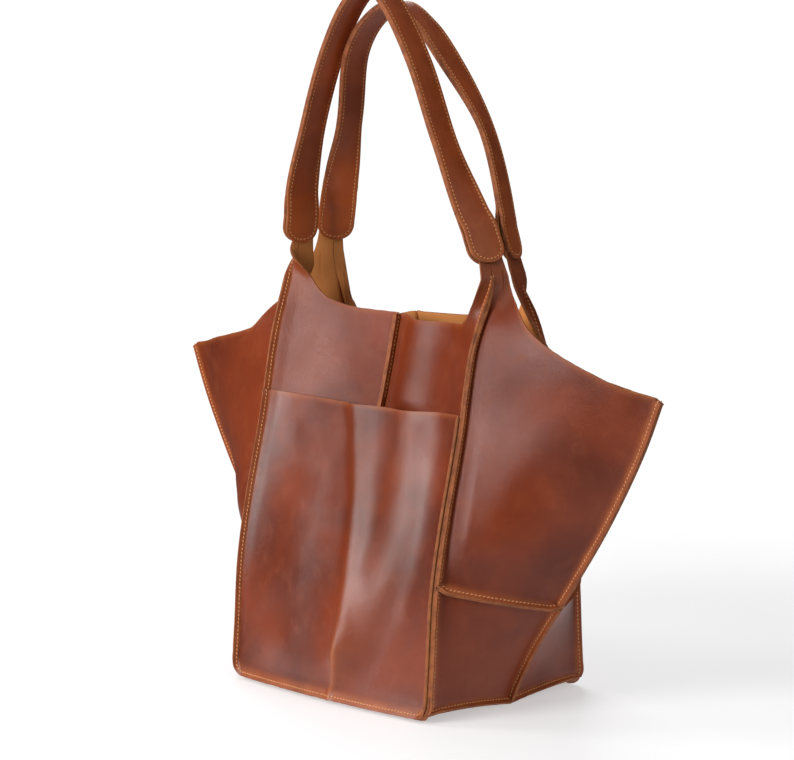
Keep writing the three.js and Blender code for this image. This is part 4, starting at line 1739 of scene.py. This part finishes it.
@dataclass(frozen=True)
class Handle:
    """A handle of two straps, sewn together round their edges, that hold a tab at each end.

    A layer is 1 for the outer strap and -1 for the inner one.
    """

    name: str
    left: Corner
    right: Corner
    middle: tuple[tuple[float, float, float], ...]
    span_steps: int = 60
    body_steps: int = 170
    tip_turns: tuple[float, float, int] = (4, 90, 14)
    half_across: tuple[float, ...] = (
        0, 0.15, 0.32, 0.48, 0.6, 0.68, 0.74, 0.78, 0.82, 0.87, 0.93, 0.97, 1,
    )
    stitch_steps: int = 300
    stitch_turns: tuple[float, float, int] = (0, 90, 24)
    tangent_step: float = 1.5
    crown: float = 0.55
    crown_rise: Ramp = Ramp(STRAP_STITCH, 13)
    dent: float = 0.22
    dent_width: float = 0.8
    roll: float = 0.35
    roll_rise: Ramp = Ramp(0, 1.3)
    strap_clear: float = 0.05
    tab_clear: float = 0.12
    end_pull: float = 0.22
    pull_end: Ramp = Ramp(10, 45)

    def line(self) -> Array:
        """A smooth line through the tabs and the handle's middle.

        Returns:
            Points close together along it.
        """
        ends = []
        for corner in (self.left, self.right):
            half_way = (corner.grip + TAB_TOP) / 2
            heights = np.array([corner.grip, half_way, TAB_TOP, TAB_TOP + TAB_RUN])
            ends.append(corner.seam(heights).at)
        through = np.concatenate([ends[0], np.array(self.middle, float), ends[1][::-1]])
        first, last = 2 * through[0] - through[1], 2 * through[-1] - through[-2]
        through = np.concatenate([[first], through, [last]])
        gaps = np.linalg.norm(np.diff(through, axis=0), axis=1) ** 0.5
        steps = np.linspace(0, 1, self.span_steps, endpoint=False)[:, None]
        spans = []
        for k in range(1, len(through) - 2):
            p0, p1, p2, p3 = through[k - 1 : k + 3]
            g0, g1, g2 = gaps[k - 1 : k + 2]
            begin = ((p1 - p0) / g0 - (p2 - p0) / (g0 + g1) + (p2 - p1) / g1) * g1
            end = ((p2 - p1) / g1 - (p3 - p1) / (g1 + g2) + (p3 - p2) / g2) * g1
            spans.append(cubic(steps, p1, p2 - p1, begin, end))
        return np.concatenate([*spans, [through[-2]]])

    def frames(self, layer: int, far: Array) -> tuple[Array, Array, Array, Array]:
        """The middle of a strap at distances along it.

        Args:
            layer: which strap.
            far: distances along the handle.

        Returns:
            The places, the way across the strap, the way that it faces, and half its full width.
        """
        line = self.line()
        length = travelled(line)[-1]
        after = along_line(line, np.minimum(far + self.tangent_step, length))
        tangent = unit(after - along_line(line, np.maximum(far - self.tangent_step, 0)))
        wide = np.broadcast_to(np.array([0.0, 1.0, 0.0]), tangent.shape)
        for corner, distance in ((self.left, far), (self.right, length - far)):
            face = corner.seam(TAB_TOP).side * -corner.along
            wide = mix(wide, face, (1 - ease(distance, corner.hold, corner.twist))[..., None])
        wide = unit(wide - tangent * (wide * tangent).sum(-1, keepdims=True))
        facing = np.cross(tangent, wide) * layer
        near = np.minimum(far, length - far)
        apart = mix(LEATHER / 2 + TAB_GAP, STRAP_GAP / 2, STRAP_CLOSES(near))
        at = along_line(line, far) + facing * (STRAP_LEATHER / 2 + apart)[..., None]
        return at, wide, facing, mix(STRAP_WIDTH, STRAP_MIDDLE, STRAP_NARROWS(near)) / 2

    def outline(
        self, turns: tuple[float, float, int], inset: float, steps: int
    ) -> tuple[Array, Array, Array]:
        """Distances along a strap from one round end to the other.

        Args:
            turns: first, last and number of the angles round an end.
            inset: how far in from the strap's edge the outline runs.
            steps: how many places there are between the ends.

        Returns:
            The distances, those from the nearer end, and shares of the strap's width.
        """
        length = travelled(self.line())[-1]
        turn = np.radians(np.linspace(*turns))
        tip = STRAP_END - (STRAP_END - inset) * np.cos(turn)
        wide = np.sin(turn) ** STRAP_TIP_POWER
        body = np.linspace(STRAP_END, length - STRAP_END, steps)[1:-1]
        far = np.concatenate([tip, body, length - tip[::-1]])
        share = np.concatenate([wide, np.ones(len(body)), wide[::-1]])
        return far, np.minimum(far, length - far), share

    def rise(self, inside: Array) -> Array:
        """Relief of a strap's face: a crown, a dent along the stitches and a rolled edge.

        Args:
            inside: distances in from the strap's outline.

        Returns:
            Heights.
        """
        crown = self.crown * self.crown_rise(inside)
        dent = self.dent * np.exp(-(((inside - STRAP_STITCH) / self.dent_width) ** 2))
        return crown - dent - self.roll * (1 - self.roll_rise(inside))

    def sheet(self, layer: int) -> Sheet:
        """Works out one of the two straps.

        Args:
            layer: which strap.

        Returns:
            Its sheet of leather.
        """
        far, near, share = self.outline(self.tip_turns, 0, self.body_steps)
        half_across = np.array(self.half_across)
        across = np.concatenate([-half_across[:0:-1], half_across])
        at, wide, facing, half = self.frames(layer, far)
        reach = (half * share)[:, None]
        grid = at[:, None] + wide[:, None] * (across[None] * reach)[..., None]
        inside = np.minimum(reach * (1 - np.abs(across)), near[:, None])
        open_gap, closed_gap = TAB_GAP - self.tab_clear, STRAP_GAP / 2 - self.strap_clear
        filled = mix(closed_gap, open_gap, 1 - STRAP_CLOSES(near))[:, None] + 0 * inside
        return Sheet(
            f"{self.name}_{'outer' if layer > 0 else 'inner'}_leather",
            grid,
            np.mean(facing, axis=0),
            pull=self.end_pull * (1 - self.pull_end(near))[:, None] + 0 * inside,
            half=STRAP_LEATHER / 2,
            grain_rise=self.rise(inside),
            nap_rise=filled,
        )

    def stitch_run(self, layer: int) -> StitchRun:
        """Works out the row of stitches round one strap.

        Args:
            layer: which strap.

        Returns:
            The row.
        """
        far, _, share = self.outline(self.stitch_turns, STRAP_STITCH, self.stitch_steps)
        at, wide, facing, half = self.frames(layer, far)
        reach = ((half - STRAP_STITCH) * share)[:, None]
        face = at + facing * (STRAP_LEATHER / 2 + float(self.rise(np.array(STRAP_STITCH))))
        loop = np.concatenate([face + wide * reach, (face - wide * reach)[::-1]])
        return StitchRun(loop, np.concatenate([facing, facing[::-1]]))


class StitchWork:
    """Sews rows of stitches with Geometry Nodes."""

    SIZES = {
        "Pitch": 3.4 * MM,
        "Length": 2.9 * MM,
        "Width": 1.35 * MM,
        "Height": 0.95 * MM,
        "Slant": math.radians(14),
    }
    BEAD = {"Segments": 6, "Rings": 4, "Radius": 0.5}
    LEAST, MOST = (0.9, 0.9, 0.85), (1.08, 1.1, 1.15)

    def __init__(self, thread: bpy.types.Material) -> None:
        """Builds the tree that sets stitches along lines.

        Args:
            thread: the stitches' finish.
        """
        self.thread = thread
        self.tree = bpy.data.node_groups.new("stitch_row", "GeometryNodeTree")
        sockets = self.tree.interface
        sockets.new_socket("Rows", in_out="INPUT", socket_type="NodeSocketGeometry")
        kinds = {**dict.fromkeys(self.SIZES, "Float"), "Thread": "Material", "Seed": "Int"}
        self.keys = {}
        for name, kind in kinds.items():
            made = sockets.new_socket(name, in_out="INPUT", socket_type="NodeSocket" + kind)
            self.keys[name] = made.identifier
        sockets.new_socket("Stitches", in_out="OUTPUT", socket_type="NodeSocketGeometry")
        self.fill_tree()

    def fill_tree(self) -> None:
        """Adds the nodes: even points along each row, with a thread laid on the leather at each."""
        nodes = Nodes(self.tree)
        given = nodes.add("NodeGroupInput").outputs
        lines = nodes.out("GeometryNodeMeshToCurve", {"Mesh": given["Rows"]})
        even = {"Curve": lines, "Length": given["Pitch"]}
        points = nodes.out("GeometryNodeResampleCurve", even, mode="LENGTH")
        ahead = nodes.out("GeometryNodeInputTangent")
        named = "GeometryNodeInputNamedAttribute"
        lay = nodes.out(named, {"Name": "lay"}, data_type="FLOAT_VECTOR")
        align = "FunctionNodeAlignRotationToVector"
        turned = nodes.out(align, {"Vector": ahead}, axis="X")
        laid = nodes.out(align, {"Rotation": turned, "Vector": lay}, axis="Z", pivot_axis="X")
        about = {"Axis": (0, 0, 1), "Angle": given["Slant"]}
        slant = nodes.out("FunctionNodeAxisAngleToRotation", about)
        both = {"Rotation": laid, "Rotate By": slant}
        slanted = nodes.out("FunctionNodeRotateRotation", both, rotation_space="LOCAL")
        bead = nodes.add("GeometryNodeMeshUVSphere", self.BEAD).outputs["Mesh"]
        sides = {"X": given["Length"], "Y": given["Width"], "Z": given["Height"]}
        size = nodes.out("ShaderNodeCombineXYZ", sides)
        stitch = nodes.out("GeometryNodeTransform", {"Geometry": bead, "Scale": size})
        limits = {"0": self.LEAST, "1": self.MOST, "Seed": given["Seed"]}
        vary = nodes.out("FunctionNodeRandomValue", limits, data_type="FLOAT_VECTOR")
        set_on = {"Points": points, "Instance": stitch, "Rotation": slanted, "Scale": vary}
        made = nodes.out("GeometryNodeInstanceOnPoints", set_on)
        for kind in ("GeometryNodeRealizeInstances", "GeometryNodeSetShadeSmooth"):
            made = nodes.out(kind, {"Geometry": made})
        dressed = {"Geometry": made, "Material": given["Thread"]}
        nodes.add("NodeGroupOutput", {"Stitches": nodes.out("GeometryNodeSetMaterial", dressed)})

    def sew(self, name: str, runs: Sequence[StitchRun], seed: int) -> bpy.types.Object:
        """Sews rows of stitches.

        Args:
            name: the piece's name.
            runs: the rows.
            seed: for the small differences between stitches.

        Returns:
            One plain mesh of all the stitches.
        """
        points = np.concatenate([run.at for run in runs]) * MM
        starts = np.cumsum([0] + [len(run.at) for run in runs])
        edges = [(k, k + 1) for a, b in zip(starts, starts[1:]) for k in range(a, b - 1)]
        rows = bpy.data.meshes.new(name + "_rows")
        rows.from_pydata(points.tolist(), edges, [])
        lay = np.concatenate([run.lay for run in runs]).astype(np.float32)
        rows.attributes.new("lay", "FLOAT_VECTOR", "POINT").data.foreach_set("vector", lay.ravel())
        guide = link(name + "_rows", rows)
        modifier = guide.modifiers.new("stitches", "NODES")
        modifier.node_group = self.tree
        values = {**self.SIZES, "Thread": self.thread, "Seed": seed}
        for label, value in values.items():
            modifier[self.keys[label]] = value
        graph = bpy.context.evaluated_depsgraph_get()
        mesh = bpy.data.meshes.new_from_object(guide.evaluated_get(graph))
        mesh.name = name
        bpy.data.objects.remove(guide)
        return link(name, mesh)


def bearing(turn: float, height: float) -> Vector:
    """The way out from the bag.

    Args:
        turn: degrees to the right of its front.
        height: degrees above level.

    Returns:
        A direction of length one.
    """
    turn, height = math.radians(turn), math.radians(height)
    level = math.cos(height)
    return Vector((math.sin(turn) * level, -math.cos(turn) * level, math.sin(height)))


def aim(thing: bpy.types.Object, eye: Vector, ahead: Vector) -> None:
    """Puts a lamp or a camera at a place, facing ahead."""
    thing.location = eye
    thing.rotation_euler = ahead.to_track_quat("-Z", "Y").to_euler()


@dataclass(frozen=True)
class Softbox:
    """A broad studio lamp that faces the bag, with its turn and height in degrees."""

    name: str
    turn: float
    height: float
    distance: float
    size: tuple[float, float]
    power: float

    def build(self, target: Vector) -> None:
        """Hangs the lamp.

        Args:
            target: what it faces.
        """
        light = bpy.data.lights.new(self.name, "AREA")
        light.shape = "RECTANGLE"
        light.size, light.size_y = self.size
        light.energy = self.power
        away = bearing(self.turn, self.height)
        aim(link(self.name, light), target + away * self.distance, -away)


@dataclass(frozen=True)
class Studio:
    """Floor, lamps, white surroundings and camera, in metres and degrees."""

    target: tuple[float, float, float] = (0.0, 0.0, 0.26493)
    turn: float = 44.85
    height: float = 7.36
    distance: float = 2.34758
    aside: float = 0.009986
    lens: float = 123.43
    sensor: float = 36.0
    floor_rings: tuple[float, ...] = (0.4, 1.0, 2.5, 6.0, 14.0)
    floor_turns: int = 48
    floor_height: float = -0.0004
    seen_white: float = 0.96
    room_light: float = 0.06
    lamps: tuple[Softbox, ...] = (
        Softbox("front_softbox", turn=-11, height=17, distance=2.2, size=(0.9, 1.2), power=48),
        Softbox("left_softbox", turn=-54, height=32, distance=2.2, size=(0.6, 0.6), power=14),
        Softbox("right_softbox", turn=88, height=28, distance=2.4, size=(1.2, 1.2), power=13),
        Softbox("top_softbox", turn=60, height=80, distance=1.9, size=(1.6, 1.6), power=14),
        Softbox("back_softbox", turn=235, height=42, distance=2.4, size=(1.4, 1.4), power=27),
    )

    def build(self, effects: Effects) -> None:
        """Sets up the studio.

        Args:
            effects: the shared shader groups.
        """
        floor = self.floor()
        floor.data.materials.append(StudioFloor().material(effects))
        for lamp in self.lamps:
            lamp.build(Vector(self.target))
        self.surroundings()
        self.camera()
        bpy.context.scene.view_settings.view_transform = "Standard"

    def floor(self) -> bpy.types.Object:
        """Lays a wide round floor just under the bag.

        Returns:
            The floor.
        """
        count = self.floor_turns
        turns = np.linspace(0, math.tau, count, endpoint=False)
        points = [(0.0, 0.0, self.floor_height)]
        for ring in self.floor_rings:
            points += [(ring * math.cos(t), ring * math.sin(t), self.floor_height) for t in turns]
        faces = [(0, 1 + k, 1 + (k + 1) % count) for k in range(count)]
        for ring in range(len(self.floor_rings) - 1):
            a, b = 1 + ring * count, 1 + (ring + 1) * count
            for k in range(count):
                after = (k + 1) % count
                faces.append((a + k, b + k, b + after, a + after))
        mesh = bpy.data.meshes.new("floor")
        mesh.from_pydata(points, [], faces)
        return link("floor", mesh)

    def surroundings(self) -> None:
        """A white background that lights the bag more softly than it looks."""
        world = bpy.data.worlds.new("white_room")
        world.use_nodes = True
        nodes = Nodes(world.node_tree)
        seen = nodes.add("ShaderNodeLightPath").outputs["Is Camera Ray"]
        strength = nodes.math("MULTIPLY", seen, self.seen_white)
        strength = nodes.math("ADD", strength, self.room_light)
        room = nodes.out("ShaderNodeBackground", {"Color": (1, 1, 1, 1), "Strength": strength})
        nodes.add("ShaderNodeOutputWorld", {"Surface": room})
        bpy.context.scene.world = world

    def camera(self) -> None:
        """Sets up the camera, turned a little so that the bag stands right of the middle."""
        turn = math.radians(self.turn)
        right = Vector((math.cos(turn), math.sin(turn), 0))
        eye = Vector(self.target) + bearing(self.turn, self.height) * self.distance
        data = bpy.data.cameras.new("camera")
        data.lens, data.sensor_width = self.lens, self.sensor
        camera = link("camera", data)
        aim(camera, eye, Vector(self.target) - right * self.aside - eye)
        bpy.context.scene.camera = camera


RIDGE = Curve(
    (
        (0, 6), (8, 9), (20, 17), (35, 23), (52, 25), (85, 25),
        (123, 22), (154, 17), (179, 11), (215, -2), (251, -18),
    )
)
RIGHT_RIDGE = Curve(
    ((0, 22), (32, 31), (56, 43), (101, 58), (154, 68), (187, 66), (251, 51))
)
LEFT_HOLLOW = Curve(((0, -12), (115, -20), (251, -52)))
POCKET_FOLDS = (
    Fold(RIDGE, left=10, right=15, height=5.0, low=-30, high=330),
    Fold(RIDGE, left=4.5, right=10, height=1.8, low=-60, high=215, fade=60),
    Fold(RIDGE, left=8, right=18, height=1.2, low=-70, high=135, fade=70),
    Fold(RIGHT_RIDGE, left=22, right=17, height=4.4, low=5, high=330, fade=60),
    Fold(LEFT_HOLLOW, left=24, right=22, height=-1.5, low=20, high=330),
)
POCKET_CREASE = Fold(RIDGE, left=2.6, right=2.6, height=1.7, low=-20, high=74)
PANEL_RIDGE = Curve(((200, 29), (324, 33)))
PANEL_FOLDS = {
    "front_right": (Fold(PANEL_RIDGE, left=14, right=22, height=9.5, low=226, high=400),),
}
HANDLE_LINES = {
    "front": (
        (-110, -22, 426), (-94, -23, 484), (-66, -25, 549), (-39, -26, 588), (-16, -26, 603),
        (6, -26, 586), (37, -25, 538), (65, -23, 472), (95, -22, 416),
    ),
    "back": (
        (-103, 17, 424), (-79, 7, 490), (-57, -6, 546), (-37, -5, 573), (-14, 1, 586),
        (9, 9, 570), (33, 13, 542), (75, 17, 482), (98, 15, 420),
    ),
}
FINISHES: tuple[Finish, ...] = (
    GrainLeather("wall_leather", "5e2411", "7b3216", "8c4420", "9a5025", gloss=0.32, shine=0.28),
    GrainLeather("pocket_leather", "541e0b", "792f11", "8c411d", "9d5226", gloss=0.31, shine=0.46),
    GrainLeather("base_leather", "4c2016", "6d3422", "8f4c30", "a5653a"),
    GrainLeather("strap_leather", "7c3512", "a84e22", "b2602b", "b4662f", gloss=0.36, shine=0.3),
    SuedeNap("suede_nap", "96572b", "d78e4f"),
    RawEdge("raw_edge", "5c2a11", "a35c2e"),
    WaxedThread("waxed_thread", "a86232", "e39e66"),
)


@dataclass
class ToteBag:
    """The whole bag: its walls, handles and stitches."""

    effects: Effects
    finishes: dict[str, bpy.types.Material] = field(init=False)
    runs: dict[str, list[StitchRun]] = field(init=False, default_factory=dict)

    def __post_init__(self) -> None:
        """Makes the finishes."""
        self.finishes = {finish.name: finish.material(self.effects) for finish in FINISHES}

    def keep(self, piece: bpy.types.Object, node: str | None = None) -> None:
        """Fixes a piece to the bag.

        Args:
            piece: the piece.
            node: the part's node that it stands for.
        """
        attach(piece, "root")
        if node:
            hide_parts(node)
        LOG.info("%s: %d faces", piece.name, len(piece.data.polygons))

    def dress(self, sheet: Sheet, slot: str, node: str) -> None:
        """Builds one sheet of leather in its finishes."""
        names = (slot, "suede_nap", "raw_edge")
        self.keep(sheet.build([self.finishes[name] for name in names]), node)

    def build_walls(self) -> None:
        """Builds the front, the back and the sides."""
        for place, corner in CORNERS.items():
            end, hand = place.split("_")
            front = end == "front"
            rows = self.runs.setdefault(end + "_stitches", [])
            side_rows = self.runs.setdefault(hand + "_side_stitches", [])
            node = place + "_panel"
            panel = PanelHalf(node, corner, front, PANEL_FOLDS.get(place, ())).sheet()
            rows += panel.stitch_runs(POCKET_TOP + 1 if front else -math.inf)
            self.dress(panel, "wall_leather", node)
            side = f"{hand}_{end}"
            walls = (
                SideWall(
                    side + "_wing", corner, cross_height, corner.wing_top,
                    open_top=True, rows=84, swell=0.9,
                ),
                SideWall(
                    side + "_gusset", corner, foot_height, cross_height,
                    open_top=False, rows=40, swell=0.7,
                ),
            )
            for wall in walls:
                sheet = wall.sheet()
                side_rows += sheet.stitch_runs()
                self.dress(sheet, "wall_leather", wall.name)

    def build_pocket_and_base(self) -> None:
        """Builds the front pocket and the base."""
        pocket = FrontPocket("front_pocket", POCKET_FOLDS, POCKET_CREASE).sheet()
        self.runs["front_stitches"] += pocket.stitch_runs()
        self.dress(pocket, "pocket_leather", "front_pocket")
        base = BasePanel("base_panel").sheet()
        self.runs["base_stitches"] = base.stitch_runs()
        self.dress(base, "base_leather", "base_panel")

    def build_handles(self) -> None:
        """Builds the two handles."""
        for end, line in HANDLE_LINES.items():
            handle = Handle(f"{end}_handle", CORNERS[end + "_left"], CORNERS[end + "_right"], line)
            rows = self.runs.setdefault(handle.name + "_stitches", [])
            for layer, label in ((1, "outer"), (-1, "inner")):
                rows.append(handle.stitch_run(layer))
                self.dress(handle.sheet(layer), "strap_leather", f"{handle.name}_{label}")

    def sew(self) -> None:
        """Sews all the seams."""
        work = StitchWork(self.finishes["waxed_thread"])
        for seed, (name, runs) in enumerate(self.runs.items()):
            self.keep(work.sew(name, runs, seed))

    def build(self) -> None:
        """Builds the bag."""
        self.build_walls()
        self.build_pocket_and_base()
        self.build_handles()
        self.sew()


def main() -> None:
    """Builds the bag and its studio, and notes the sizes."""
    logging.basicConfig(level=logging.INFO, format="%(name)s: %(message)s")
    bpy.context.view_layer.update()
    effects = Effects()
    ToteBag(effects).build()
    Studio().build(effects)


if __name__ == "__main__":
    main()
